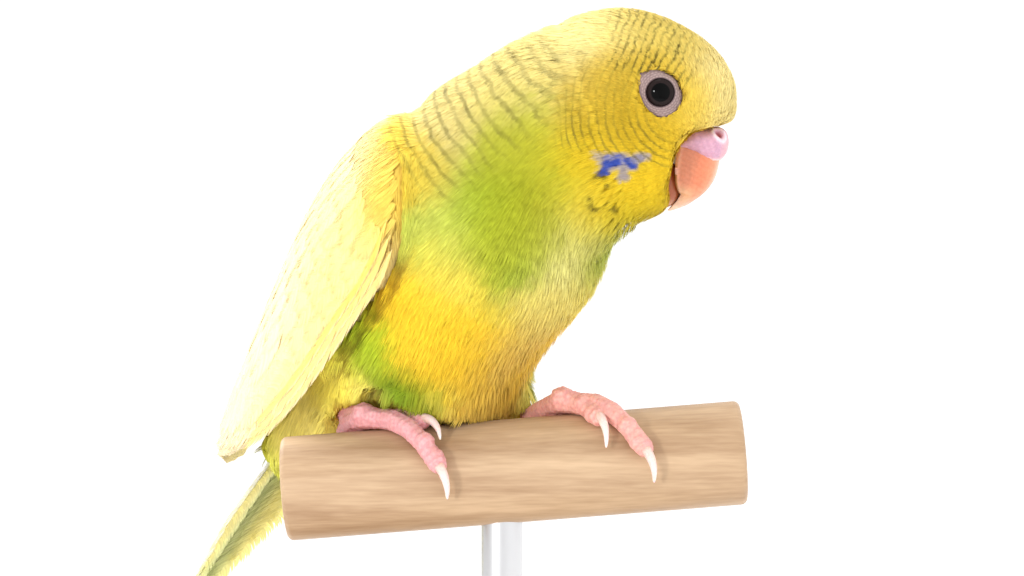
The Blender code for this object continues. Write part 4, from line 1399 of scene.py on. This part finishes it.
lines = []
share = np.linspace(0, 1, 11)
for pair, tip in enumerate(TAIL_TIPS):
    for side in (1, -1):
        forward = -41 + (tip + 41) * share
        height, width = (rounded(forward, TAIL_FORM[:, 0], column) for column in TAIL_FORM[:, 1:].T)
        across = side * (0.7 + 1.05 * pair) * (0.6 + 0.4 * share) * np.minimum(1, width / 5.5)
        height = height - 0.25 * np.abs(across) + 0.5 - 0.22 * pair - 0.03 * side
        line = world(np.stack([forward, across, height], 1), "trunk")
        along = unit(np.gradient(line, axis=0))
        up = unit(np.array((0, side * 0.24, 1.0)) @ TRUNK[1])
        over = unit(np.cross(np.broadcast_to(up, along.shape), along))
        lines.append((line, over, unit(np.cross(along, over))))
lines = [np.stack(some) for some in zip(*lines)]
count = len(lines[0])
half, flat = np.full(count, 2.7 * MM), np.zeros(count)
tail = lay(
    "tail_feathers", FLIGHTS, lines[0][:, 0], None, half, flat, flat, wing_material, "tail_feathers",
    tail_colour, lines=lines, rim=((0.94, 0.88, 0.45), 0.5), blur=0.3, soft=0.6, barred=False,
)
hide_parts("tail")
# %% [markdown]
# Eyes, lids, cere and bill carry no feathers, so their shapes must be fine. Each starts as a ball or a
# ring with many faces, and a rule moves its corners: a share along the piece and an angle round it
# become a place in the head's frame. Small swellings and pits are added the same way.

# %% Fine shapes from balls and rings
def from_ball(name, segments, rings, shape):
    """A ball whose corners are moved: shape takes the share from pole to pole and the angle round it."""
    bpy.ops.object.select_all(action="DESELECT")
    bpy.ops.mesh.primitive_uv_sphere_add(segments=segments, ring_count=rings, radius=1, location=(0, 0, 0))
    made = bpy.context.object
    made.name = made.data.name = name
    x, y, z = corners_of(made).T
    put_corners(made, shape(np.arccos(np.clip(z, -1, 1)) / math.pi, np.arctan2(y, x)))
    edit(made, bpy.ops.mesh.normals_make_consistent, inside=False)
    return made


def painted(name, roughness, grain, **others):
    """A material that takes its colour from the mesh, with a fine unevenness."""
    made = new_material(name, roughness, **others)
    tone = mapped(made, speckle(made, grain, 3.0), (0.3, 0.7), (0.9, 1.08))
    toned(made, stored(made, "ground", "Color"), tone)
    return made


def pushed(thing, heights):
    """Moves each corner out along its normal by a height in mm."""
    put_corners(thing, corners_of(thing) + normals_of(thing) * (heights * MM)[:, None])


def tint(thing, *layers):
    """Stores a colour for each corner: the first, with each next one mixed in by its share."""
    colour = np.tile(np.array(layers[0], float), (len(thing.data.vertices), 1))
    for share, other in layers[1:]:
        colour += share[:, None] * (np.array(other) - colour)
    store(thing.data, "ground", "FLOAT_COLOR", np.c_[colour, np.ones(len(colour))])


print("the left eye's middle lies at", world(EYE_AT, "head").round(4))

# %% [markdown]
# A young budgerigar's eye is almost black: a wide pupil and a dark brown iris round it. Each eye is a
# whole ball at its real depth behind the lids, and its gloss comes from a very smooth surface.

# %% The eyes
PUPIL = 1.5
PUPIL_BLACK, IRIS_DARK, IRIS_LIGHT = (0.0006, 0.0005, 0.0005), (0.011, 0.006, 0.006), (0.024, 0.015, 0.014)

eye_material = new_material("dark_eye", 0.04, Specular_IOR_Level=0.09)
ring = mapped(eye_material, stored(eye_material, "away"), (PUPIL - 0.08, PUPIL + 0.10), kind="SMOOTHSTEP")
iris = between(eye_material, speckle(eye_material, 0.25 * MM), IRIS_DARK, IRIS_LIGHT)
plug(eye_material, "Base Color", between(eye_material, ring, PUPIL_BLACK, iris))

for side, name in ((1, "left"), (-1, "right")):
    def eyeball(share, round_it):
        out = EYE_RADIUS * np.cos(math.pi * share)
        wide = EYE_RADIUS * np.sin(math.pi * share)
        spots = np.stack([wide * np.cos(round_it), side * (EYE_AT[1] + out), wide * np.sin(round_it)], 1)
        return world(spots + (EYE_AT[0], 0, EYE_AT[2]), "head")

    ball = from_ball(f"eyeball_{name}", 64, 48, eyeball)
    spots = local(corners_of(ball), "head")[:, (0, 2)] - EYE_AT[[0, 2]]
    store(ball.data, "away", "FLOAT", np.linalg.norm(spots, axis=1))
    finish_piece(ball, eye_material, "eye", f"eye_{name}")

# %% [markdown]
# A bare ring of beaded skin borders each eye. A torus gives it: the way round the torus is the way
# round the eye, and the way over its tube runs from the rim of the lid out under the feathers.

# %% The lids
LID_RIM, BEAD_ROWS, BEADS = 2.28, 3, 30
LID_BULGE, BEAD_PITCH, BEAD_HEIGHT, UNDER_FEATHERS = 0.34, 0.36, 0.085, 0.35  # in mm
lid_material = painted("lid_skin", 0.5, 0.3 * MM, Specular_IOR_Level=0.35)

for side, name in ((1, "left"), (-1, "right")):
    bpy.ops.object.select_all(action="DESELECT")
    bpy.ops.mesh.primitive_torus_add(
        major_segments=200, minor_segments=56, major_radius=1, minor_radius=0.25, location=(0, 0, 0)
    )
    lid = bpy.context.object
    lid.name = lid.data.name = f"lids_{name}"
    x, y, z = corners_of(lid).T
    turn = np.arctan2(y, x)
    over = np.arctan2(z, np.hypot(x, y) - 1)
    share = 1 - np.abs(over) / math.pi
    top = over >= 0
    outer = np.interp(turn, border_turn, border_radius, period=2 * math.pi) + UNDER_FEATHERS
    reach = LID_RIM + (outer - LID_RIM) * share
    forward, up = EYE_AT[0] + reach * np.cos(turn), EYE_AT[2] + reach * np.sin(turn)
    edge_forward, edge_up = EYE_AT[0] + outer * np.cos(turn), EYE_AT[2] + outer * np.sin(turn)
    inward = -side * HEAD[1][1]
    skin_at = []
    for start in world(np.stack([edge_forward, np.full(len(turn), side * 20.0), edge_up], 1), "head"):
        place = on_body.tree.ray_cast(Vector(start), Vector(inward))[0]
        skin_at.append(abs(local(np.array([place]), "head")[0, 1]))
    skin_at = np.array(skin_at)
    rim_out = EYE_AT[1] + math.sqrt(EYE_RADIUS ** 2 - LID_RIM ** 2)
    out = (rim_out + 0.06) * (1 - share) + (skin_at + 0.25) * share
    out += LID_BULGE * np.sin(math.pi * np.clip(share, 0, 1) ** 0.75) ** 0.8
    ball = EYE_AT[1] + np.sqrt(np.clip(EYE_RADIUS ** 2 - reach ** 2, 0, None)) * (reach < EYE_RADIUS)
    out = np.maximum(out, ball + 0.14)
    rows = (reach - LID_RIM - BEAD_PITCH / 3) / BEAD_PITCH
    row = np.floor(rows)
    beads = (turn - 0.5 * (row % 2) * 2 * math.pi / BEADS) * BEADS / (2 * math.pi)
    bead = np.clip(np.sin(math.pi * (rows - row)) * np.abs(np.sin(math.pi * beads)) ** 0.6, 0, 1)
    bead *= (rows > 0) & (rows < BEAD_ROWS + 1) & top
    out = np.where(top, out + BEAD_HEIGHT * bead, out - 0.5)
    spots = np.stack([forward, side * out, up], 1)
    put_corners(lid, world(spots, "head"))
    edit(lid, bpy.ops.mesh.normals_make_consistent, inside=False)
    dark = smooth(0.20, 0.02, reach - LID_RIM)
    patchy = 0.5 + 0.5 * wobble(corners_of(lid), 1.1)
    tint(
        lid, (0.19, 0.125, 0.125), (0.5 * patchy, (0.25, 0.17, 0.165)), (0.85 * bead, (0.40, 0.285, 0.26)),
        (0.85 * dark, (0.07, 0.04, 0.045)), (0.7 * smooth(0.55, 0.0, outer - reach), (0.10, 0.06, 0.06)),
    )
    finish_piece(lid, lid_material, "cere")

# %% [markdown]
# The cere is a soft swelling over the root of the bill, thick in front, with a nostril on each side
# and a shallow groove between its halves. The bill starts beneath it and hooks down.

# %% The cere
# Its side view: forward, upper border, lower border, and its half width, in mm
CERE_FORM = np.array([
    (6.1, -7.0, -7.0, 3.9), (6.5, -6.3, -7.2, 4.15), (7.0, -5.7, -7.4, 4.3), (8.15, -4.5, -7.85, 4.45),
    (9.6, -3.6, -8.3, 4.5), (10.7, -3.0, -8.5, 4.45), (11.8, -2.72, -8.5, 4.2), (12.6, -2.9, -8.25, 3.75),
    (13.1, -3.2, -8.05, 3.3), (13.5, -3.7, -7.6, 2.75), (13.75, -4.25, -7.05, 2.2), (13.9, -4.8, -6.5, 1.6),
    (13.98, -5.6, -5.6, 0.9),
])
NOSTRIL_AT, NOSTRIL_REACH = np.array((11.9, 3.45, -3.7)), (0.92, 0.68)
NOSTRIL_ALONG = np.array((0.556, 0.0, -0.83))


def cere_shape(share, round_it):
    forward = 10.04 + 3.94 * np.cos(math.pi * share)
    top, bottom, wide = (np.interp(forward, CERE_FORM[:, 0], column) for column in CERE_FORM[:, 1:].T)
    closing = np.sqrt(np.clip(1 - (2 * share - 1) ** 24, 0, 1))
    across, upward = np.cos(round_it), np.sin(round_it)
    boxy = (np.abs(across) ** 2.5 + np.abs(upward) ** 2.5) ** (-1 / 2.5)
    spots = np.stack([
        forward, wide * closing * across * boxy, (top + bottom) / 2 + (top - bottom) / 2 * upward * boxy,
    ], 1)
    return world(spots, "head")


cere = from_ball("cere_skin", 176, 120, cere_shape)
modify(cere, "SMOOTH", factor=0.5, iterations=4)
spots = sided(corners_of(cere), "head")
off = spots - NOSTRIL_AT
along = off @ NOSTRIL_ALONG
across = np.sqrt(np.clip((off ** 2).sum(1) - along ** 2, 0, None))
hole = np.hypot(along / NOSTRIL_REACH[0], across / NOSTRIL_REACH[1])
pit, rim = smooth(1.15, 0.5, hole), np.exp(-((hole - 1.55) / 0.42) ** 2)
groove = np.exp(-(spots[:, 1] / 0.42) ** 2) * smooth(10.5, 12.5, spots[:, 0])
low_line = 0.27 * np.maximum(10 - spots[:, 0], 0) + 0.3 * np.maximum(spots[:, 0] - 12, 0) - 8.2
low_edge = np.exp(-((spots[:, 2] - low_line) / 0.25) ** 2)
lobe = hill(spots, (12.6, 2.1, -6.3), (1.2, 1.4, 1.2))
creases = 0.5 + 0.5 * np.sin(5.5 * (spots[:, 0] + 0.6 * spots[:, 2]) + 2.0 * wobble(corners_of(cere), 1.0))
height = -0.9 * pit + 0.16 * rim * (1 - pit) - 0.30 * groove + 0.10 * low_edge + 0.18 * lobe
height += 0.035 * wobble(corners_of(cere), 0.42) + 0.02 * creases * (1 - pit)
height += 1.3 * hill(spots, (6.9, 4.5, -4.6), (2.4, 4, 1.7))
pushed(cere, height)
front = smooth(12.2, 13.6, spots[:, 0])
blotch = 0.5 + 0.5 * wobble(corners_of(cere), 1.3)
tint(
    cere, (0.60, 0.32, 0.44), (0.45 * blotch, (0.66, 0.40, 0.50)), (0.85 * front, (0.75, 0.43, 0.46)),
    (0.35 * creases * (1 - front), (0.52, 0.27, 0.38)), (0.9 * low_edge, (0.92, 0.70, 0.66)),
    (0.8 * rim, (0.88, 0.74, 0.80)), (0.5 * groove, (0.5, 0.24, 0.30)), (pit, (0.42, 0.05, 0.05)),
)
cere_material = painted(
    "cere_skin", 0.42, 0.35 * MM, Specular_IOR_Level=0.45, Subsurface_Weight=0.12, Subsurface_Scale=0.6 * MM
)
finish_piece(cere, cere_material, "cere", "cere")

# %% [markdown]
# The bill is thin horn over bone, orange at the root and paler towards the tip and the ridge. Its side
# view is a table of back edge and ridge, and a rounded section between them gives the hook.

# %% The bill
# The upper bill from its root to its tip: back edge and ridge (forward, up), and half width, in mm
BILL_FORM = np.array([
    (6.0, -5.0, 12.3, -4.6, 3.7), (5.8, -7.5, 12.9, -7.0, 4.0), (5.8, -9.4, 13.1, -9.2, 4.1),
    (6.05, -11.2, 12.95, -11.2, 3.95), (6.6, -13.2, 12.3, -12.95, 3.5), (7.4, -14.5, 11.4, -14.35, 2.9),
    (7.85, -15.0, 10.55, -15.3, 2.35), (7.5, -16.1, 9.3, -16.5, 1.55), (6.75, -17.55, 7.3, -17.75, 0.55),
    (6.5, -17.95, 6.6, -18.0, 0.2),
])


def bill_shape(share, round_it):
    along = np.arange(len(BILL_FORM)) / (len(BILL_FORM) - 1)
    place = 0.02 + 0.98 * (0.5 - 0.5 * np.cos(math.pi * share)) ** 0.92
    back_x, back_z, ridge_x, ridge_z, wide = (rounded(place, along, column) for column in BILL_FORM.T)
    closing = np.sqrt(np.clip(1 - (2 * share - 1) ** 30, 0, 1))
    front, aside = np.cos(round_it), np.sin(round_it)
    inner = 0.30 * smooth(0.25, 0.5, place)
    lean = np.where(front > 0, np.abs(front) ** 0.82, inner * np.abs(front))
    lean = lean * closing + 0.5 * (1 - closing)
    spots = np.stack([
        back_x + (ridge_x - back_x) * lean,
        wide * closing * np.sign(aside) * np.abs(aside) ** 0.96,
        back_z + (ridge_z - back_z) * lean,
    ], 1)
    return world(spots, "head")


bill = from_ball("upper_bill", 128, 150, bill_shape)
spots = sided(corners_of(bill), "head")
down = np.clip(-(spots[:, 2] + 8.0) / 10.0, 0, 1)
ridge_x = np.interp(-spots[:, 2], -BILL_FORM[:, 3], BILL_FORM[:, 2])
back_x = np.interp(-spots[:, 2], -BILL_FORM[:, 1], BILL_FORM[:, 0])
ahead = np.clip((spots[:, 0] - back_x) / np.maximum(ridge_x - back_x, 0.5), 0, 1)
growth = np.sin(7.0 * (spots[:, 2] + 0.35 * spots[:, 0]) + 1.5 * wobble(corners_of(bill), 2.2))
ridge = np.exp(-(spots[:, 1] / 0.7) ** 2) * ahead
pushed(bill, 0.05 * ridge + 0.010 * wobble(corners_of(bill), 0.8))
edge_pale = smooth(0.86, 0.99, ahead)
tint(
    bill, (0.60, 0.20, 0.105), (smooth(0.3, 0.65, ahead), (0.69, 0.205, 0.095)),
    (0.8 * smooth(0.65, 0.9, ahead), (0.78, 0.30, 0.15)),
    (0.7 * edge_pale * smooth(0.75, 0.2, down), (0.88, 0.48, 0.33)),
    (0.75 * smooth(0.45, 0.66, down) * smooth(0.95, 0.5, ahead), (0.70, 0.38, 0.20)),
    (smooth(0.66, 0.98, down), (0.86, 0.60, 0.46)), (0.7 * smooth(0.16, 0.03, ahead), (0.78, 0.42, 0.30)),
    (0.05 * (0.5 + 0.5 * growth), (0.92, 0.55, 0.38)),
)
bill_material = painted(
    "bill_horn", 0.34, 0.5 * MM, Specular_IOR_Level=0.45, Subsurface_Weight=0.15, Subsurface_Scale=0.8 * MM,
    Coat_Weight=0.15, Coat_Roughness=0.2,
)
finish_piece(bill, bill_material, "bill", "bill_upper")

# %% [markdown]
# The lower bill is almost hidden behind the upper one. A ball with its front pushed in is enough, and
# it shares the upper bill's horn.

# %% The lower bill
LOWER_BILL_AT, LOWER_BILL_RADII = np.array((5.4, 0.0, -14.0)), np.array((2.8, 3.1, 4.1))


def lower_bill_shape(share, round_it):
    wide = np.sin(math.pi * share)
    ball = np.stack([wide * np.cos(round_it), wide * np.sin(round_it), np.cos(math.pi * share)], 1)
    ball[:, 0] -= 0.25 * ball[:, 2] ** 2 * (ball[:, 0] > 0)
    return world(LOWER_BILL_AT + LOWER_BILL_RADII * ball, "head")


lower_bill = from_ball("lower_bill", 72, 56, lower_bill_shape)
spots = local(corners_of(lower_bill), "head")
pushed(lower_bill, 0.02 * wobble(corners_of(lower_bill), 0.6))
# Partly painted shade: the horn's colour, darkened where the lower bill lies tucked under the upper bill
tint(lower_bill, (0.36, 0.09, 0.03), (smooth(-15.5, -18, spots[:, 2]), (0.60, 0.30, 0.14)))
finish_piece(lower_bill, bill_material, "bill", "bill_lower")
# %% [markdown]
# The feet are remeshed from their solids at a fifth of a millimetre. Each corner then knows its toe
# and how far along it lies, so the scutes cross each toe over its upper side, and small grains cover
# the rest.

# %% The toes' lines over the perch
PERCH_RISE, PERCH_RADIUS = math.radians(4.6), 8.8 * MM
PERCH = (
    Matrix.Translation((0, 0, PERCH_TOP.z - PERCH_RADIUS / math.cos(PERCH_RISE)))
    @ Matrix.Rotation(-PERCH_RISE, 4, "Y")
)
# Each foot's middle: along the perch in mm and degrees round it, then how far along and to what angle
# each toe reaches, and each toe's radius in mm at its root and tip
FEET = {
    "right": {"middle": (-22.6, -2), "second": (9.8, 17), "third": (12.2, 70), "fourth": (-6.2, -98),
              "first": (-0.5, -72), "ankle": (-27.0, 9.5, -0.4)},
    "left": {"middle": (11.2, -2), "second": (5.6, 34), "third": (12.8, 70), "fourth": (-5.2, -98),
             "first": (2.5, -72), "ankle": (4.5, 9.5, -0.9)},
}
TOES = {"second": (1.65, 1.4), "third": (1.9, 1.5), "fourth": (1.75, 1.4), "first": (1.5, 1.3)}
SCUTE, GRAIN = 0.95, 0.16 * MM


def on_perch(length, degrees, height):
    turn, out = math.radians(degrees), PERCH_RADIUS + height * MM
    return np.array(PERCH @ Vector((length * MM, -out * math.sin(turn), out * math.cos(turn))))


def toe_line(side, toe, steps=40):
    """Places along a toe's middle, from the foot's middle to its end."""
    start, start_angle = FEET[side]["middle"]
    reach, end_angle = FEET[side][toe]
    root, tip = TOES[toe]
    return np.array([
        on_perch(
            start + reach * share ** 0.9, start_angle + (end_angle - start_angle) * share ** 1.6,
            root + (tip - root) * share + 0.3,
        )
        for share in np.linspace(0, 1, steps)
    ])


def along_lines(points, lines):
    """How far along its nearest line each point lies, in mm and as a share of that line."""
    best, along, share = np.array((np.inf, 0, 0))[:, None] * np.ones(len(points))
    for line in lines:
        far = np.linalg.norm(points[:, None] - line[None], axis=2)
        nearest = far.argmin(1)
        mine = far.min(1) < best
        step = np.linalg.norm(line[1] - line[0])
        direction = unit(np.gradient(line, axis=0))[nearest]
        place = step * nearest + ((points - line[nearest]) * direction).sum(1)
        best = np.where(mine, far.min(1), best)
        along = np.where(mine, place / MM, along)
        share = np.where(mine, nearest / (len(line) - 1), share)
    return along, share


toe_steps = np.diff(toe_line("right", "third"), axis=0)
print("a near toe is", round(np.linalg.norm(toe_steps, axis=1).sum() / MM), "mm long")

# %% [markdown]
# The real foot is skin over bone, with soft pads below. Balls under each toe and under the sole are
# enough for the pads: three for each toe, sunk towards the perch.

# %% The pads
axis = np.array(PERCH.to_3x3() @ Vector((1, 0, 0)))
middle = np.array(PERCH.translation)
PADS = [(-0.15, 1.0, 0.0), (1.3, 1.12, 0.25), (4.6, 1.10, 0.25)]  # mm back from the end, size, mm inward


def pads_of(side):
    """The places of a foot's pads, and their radii in mm: three for each toe and one for the sole."""
    pads = []
    for toe, (_, tip) in TOES.items():
        line = toe_line(side, toe)
        ahead = unit(line[-1] - line[-3])
        inward = unit(middle - line[-1])
        for back, size, sink in PADS:
            pads.append((line[-1] - ahead * back * MM + inward * sink * MM, tip * size))
    middle_at, middle_turn = FEET[side]["middle"]
    return pads + [(on_perch(middle_at - 1.0, middle_turn - 22, 0.9), 1.9)]


print("pads on each foot:", len(pads_of("left")))

# %% [markdown]
# The remesh makes the pads one with the toes. The perch's axis tells what is up on each toe, and there
# the skin has scutes, with small grains over the rest.

# %% Skin of the feet
foot_material = painted(
    "foot_skin", 0.5, 0.4 * MM, Specular_IOR_Level=0.4, Subsurface_Weight=0.12, Subsurface_Scale=0.6 * MM
)
# The near foot is pinker than the far one: its base colour and its pale one
FOOT_COLOURS = {
    "right": ((0.72, 0.31, 0.32), (0.80, 0.47, 0.47)), "left": ((0.77, 0.35, 0.29), (0.83, 0.50, 0.44)),
}
for side, (base, pale) in FOOT_COLOURS.items():
    foot = copy_of([f"foot_{side}"], f"foot_skin_{side}")
    swell(foot, 0.10 * MM)
    balls = []
    for place, radius in pads_of(side):
        bpy.ops.object.select_all(action="DESELECT")
        bpy.ops.mesh.primitive_uv_sphere_add(segments=24, ring_count=16, radius=radius * MM, location=place)
        balls.append(bpy.context.object)
    only(foot, *balls)
    bpy.ops.object.join()
    remesh(foot, 0.2 * MM, 14)
    points = corners_of(foot)
    ankle = np.array(PERCH_TOP) + np.array(FEET[side]["ankle"]) * MM
    shank = np.linspace(on_perch(*FEET[side]["middle"], 3.0), ankle, 20)
    lines = [toe_line(side, toe) for toe in TOES] + [shank]
    along, share = along_lines(points, lines)
    out = points - middle
    out = unit(out - axis * (out @ axis)[:, None])
    upper = smooth(-0.1, 0.5, (normals_of(foot) * out).sum(1))
    jitter = 0.12 * wobble(points, 1.2)
    plate = np.abs(np.sin(math.pi * (along / SCUTE + jitter)))
    pad = 0.5 - 0.5 * np.cos(2 * math.pi * 3 * share + 0.6)
    crease = smooth(0.5, 0.0, plate)
    grains = bpy.data.textures.new(f"grains_{side}", "VORONOI")
    grains.noise_scale = 0.62 * MM
    modify(foot, "DISPLACE", texture=grains, texture_coords="LOCAL", strength=-GRAIN, mid_level=0.5)
    grain = ((corners_of(foot) - points) * normals_of(foot)).sum(1) / GRAIN
    pushed(foot, upper * (0.06 * plate ** 0.5 - 0.05) + 0.10 * pad * (1 - upper) * (share > 0.15))
    tint(
        foot, base, (0.35 * smooth(0.25, 0.9, plate) * upper, pale),
        (0.5 * smooth(-0.2, 0.5, grain), pale), (0.35 * crease * upper, (0.70, 0.32, 0.32)),
        (0.4 * smooth(0.1, -0.4, grain), (0.66, 0.26, 0.27)),
        (0.4 * smooth(0.1, 0.8, wobble(points, 1.6)), (0.72, 0.35, 0.36)),
    )
    finish_piece(foot, foot_material, "foot_skin", f"foot_{side}")

# %% [markdown]
# The claws' solids have few sides. A subdivision rounds them, and a colour runs from the reddish root
# to the pale tip.

# %% The claws
claw_material = painted(
    "claw_horn", 0.3, 0.4 * MM, Specular_IOR_Level=0.5, Subsurface_Weight=0.2, Subsurface_Scale=0.5 * MM,
    Coat_Weight=0.2, Coat_Roughness=0.15,
)
for side in FEET:
    for toe in TOES:
        name = f"claw_{side}_{toe}"
        claw = copy_of([name], f"nail_{side}_{toe}")
        swell(claw, 0.12 * MM)
        modify(claw, "SUBSURF", levels=3, render_levels=3)
        points = corners_of(claw)
        away = np.linalg.norm(points - toe_line(side, toe)[-1], axis=1) / MM
        tint(
            claw, (0.74, 0.45, 0.37), (smooth(0.8, 3.4, away), (0.86, 0.67, 0.62)),
            (smooth(3.2, 6.0, away), (0.90, 0.78, 0.75)),
        )
        finish_piece(claw, claw_material, "claw", name)
# %% [markdown]
# The bird grips a turned perch, which a steel rod carries over a wooden base. These are plain turned
# shapes, so cylinders with softened edges replace the solids, and the grain is drawn in the material.

# %% Turned shapes and wood
def turned(name, sides, radius, depth, place, turn, rounding, steps):
    bpy.ops.object.select_all(action="DESELECT")
    bpy.ops.mesh.primitive_cylinder_add(
        vertices=sides, radius=radius, depth=depth, location=place, rotation=turn
    )
    made = bpy.context.object
    made.name = made.data.name = name
    bpy.ops.object.transform_apply(location=True, rotation=True, scale=True)
    modify(made, "BEVEL", width=rounding, segments=steps, limit_method="ANGLE")
    return made


def wood(name, dark, light, size):
    """Wood whose grain runs along the object's first axis."""
    made = new_material(name, 0.48, Specular_IOR_Level=0.35)
    stretch = (0.09, 1.0, 1.0)
    spot = node(made, "VectorMath", {"operation": "MULTIPLY"}, _0=object_place(made), _1=stretch).outputs[0]
    broad = node(made, "TexNoise", Vector=spot, Scale=1 / size, Detail=4.0, Roughness=0.6).outputs["Fac"]
    fine = node(made, "TexNoise", Vector=spot, Scale=9 / size, Detail=3.0).outputs["Fac"]
    share = reckon(made, "MULTIPLY_ADD", fine, 0.35, reckon(made, "MULTIPLY", broad, 0.9))
    plug(made, "Base Color", between(made, mapped(made, share, (0.42, 0.82)), dark, light))
    plug(made, "Normal", node(made, "Bump", Height=fine, Distance=0.05 * MM, Strength=0.4).outputs[0])
    return made


def bounds_of(name):
    corners = corners_of(nodes[name])
    return corners.min(0), corners.max(0)


print("the perch's solid lies between", *(end.round(4) for end in bounds_of("stand_perch")))

# %% [markdown]
# The measures come from the solids' own boxes. The perch is tilted, so the rims of its ends make its box
# a little longer than its axis, and that is taken off first.

# %% The stand
perch_low, perch_high = bounds_of("stand_perch")
base_low, base_high = bounds_of("stand_base")
rod_low, rod_high = bounds_of("stand_rod")
end_spread = PERCH_RADIUS * math.sin(PERCH_RISE)
perch_length = (perch_high[0] - perch_low[0] - 2 * end_spread) / math.cos(PERCH_RISE)
perch_middle = tuple((perch_low + perch_high) / 2)
perch = turned(
    "perch_rod", 96, PERCH_RADIUS, perch_length, perch_middle, (0, math.pi / 2 - PERCH_RISE, 0), 1.0 * MM, 4
)
perch_wood = wood("perch_wood", (0.36, 0.22, 0.12), (0.60, 0.42, 0.26), 5 * MM)
finish_piece(perch, perch_wood, "perch_wood", "stand_perch")
base_height = base_high[2] - base_low[2]
base = turned(
    "base_disc", 160, (base_high[0] - base_low[0]) / 2, base_height, (0, 0, base_low[2] + base_height / 2),
    (0, 0, 0), 1.6 * MM, 5,
)
base_wood = wood("base_wood", (0.20, 0.115, 0.06), (0.38, 0.24, 0.14), 9 * MM)
finish_piece(base, base_wood, "base_wood", "stand_base")
rod_top = perch_middle[2]
rod = turned(
    "steel_rod", 64, (rod_high[0] - rod_low[0]) / 2, rod_top - rod_low[2], (0, 0, (rod_top + rod_low[2]) / 2),
    (0, 0, 0), 0.3 * MM, 3,
)
steel = new_material("brushed_steel", 0.32, (0.60, 0.60, 0.61), Metallic=1.0)
finish_piece(rod, steel, "rod_steel", "stand_rod")

# %% [markdown]
# The looks must not change the bird's size, so the box of the finished model is printed.

# %% Measures and the end
low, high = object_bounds()
print("visual box in mm:", [round(x / MM, 1) for x in (*low, *high)])
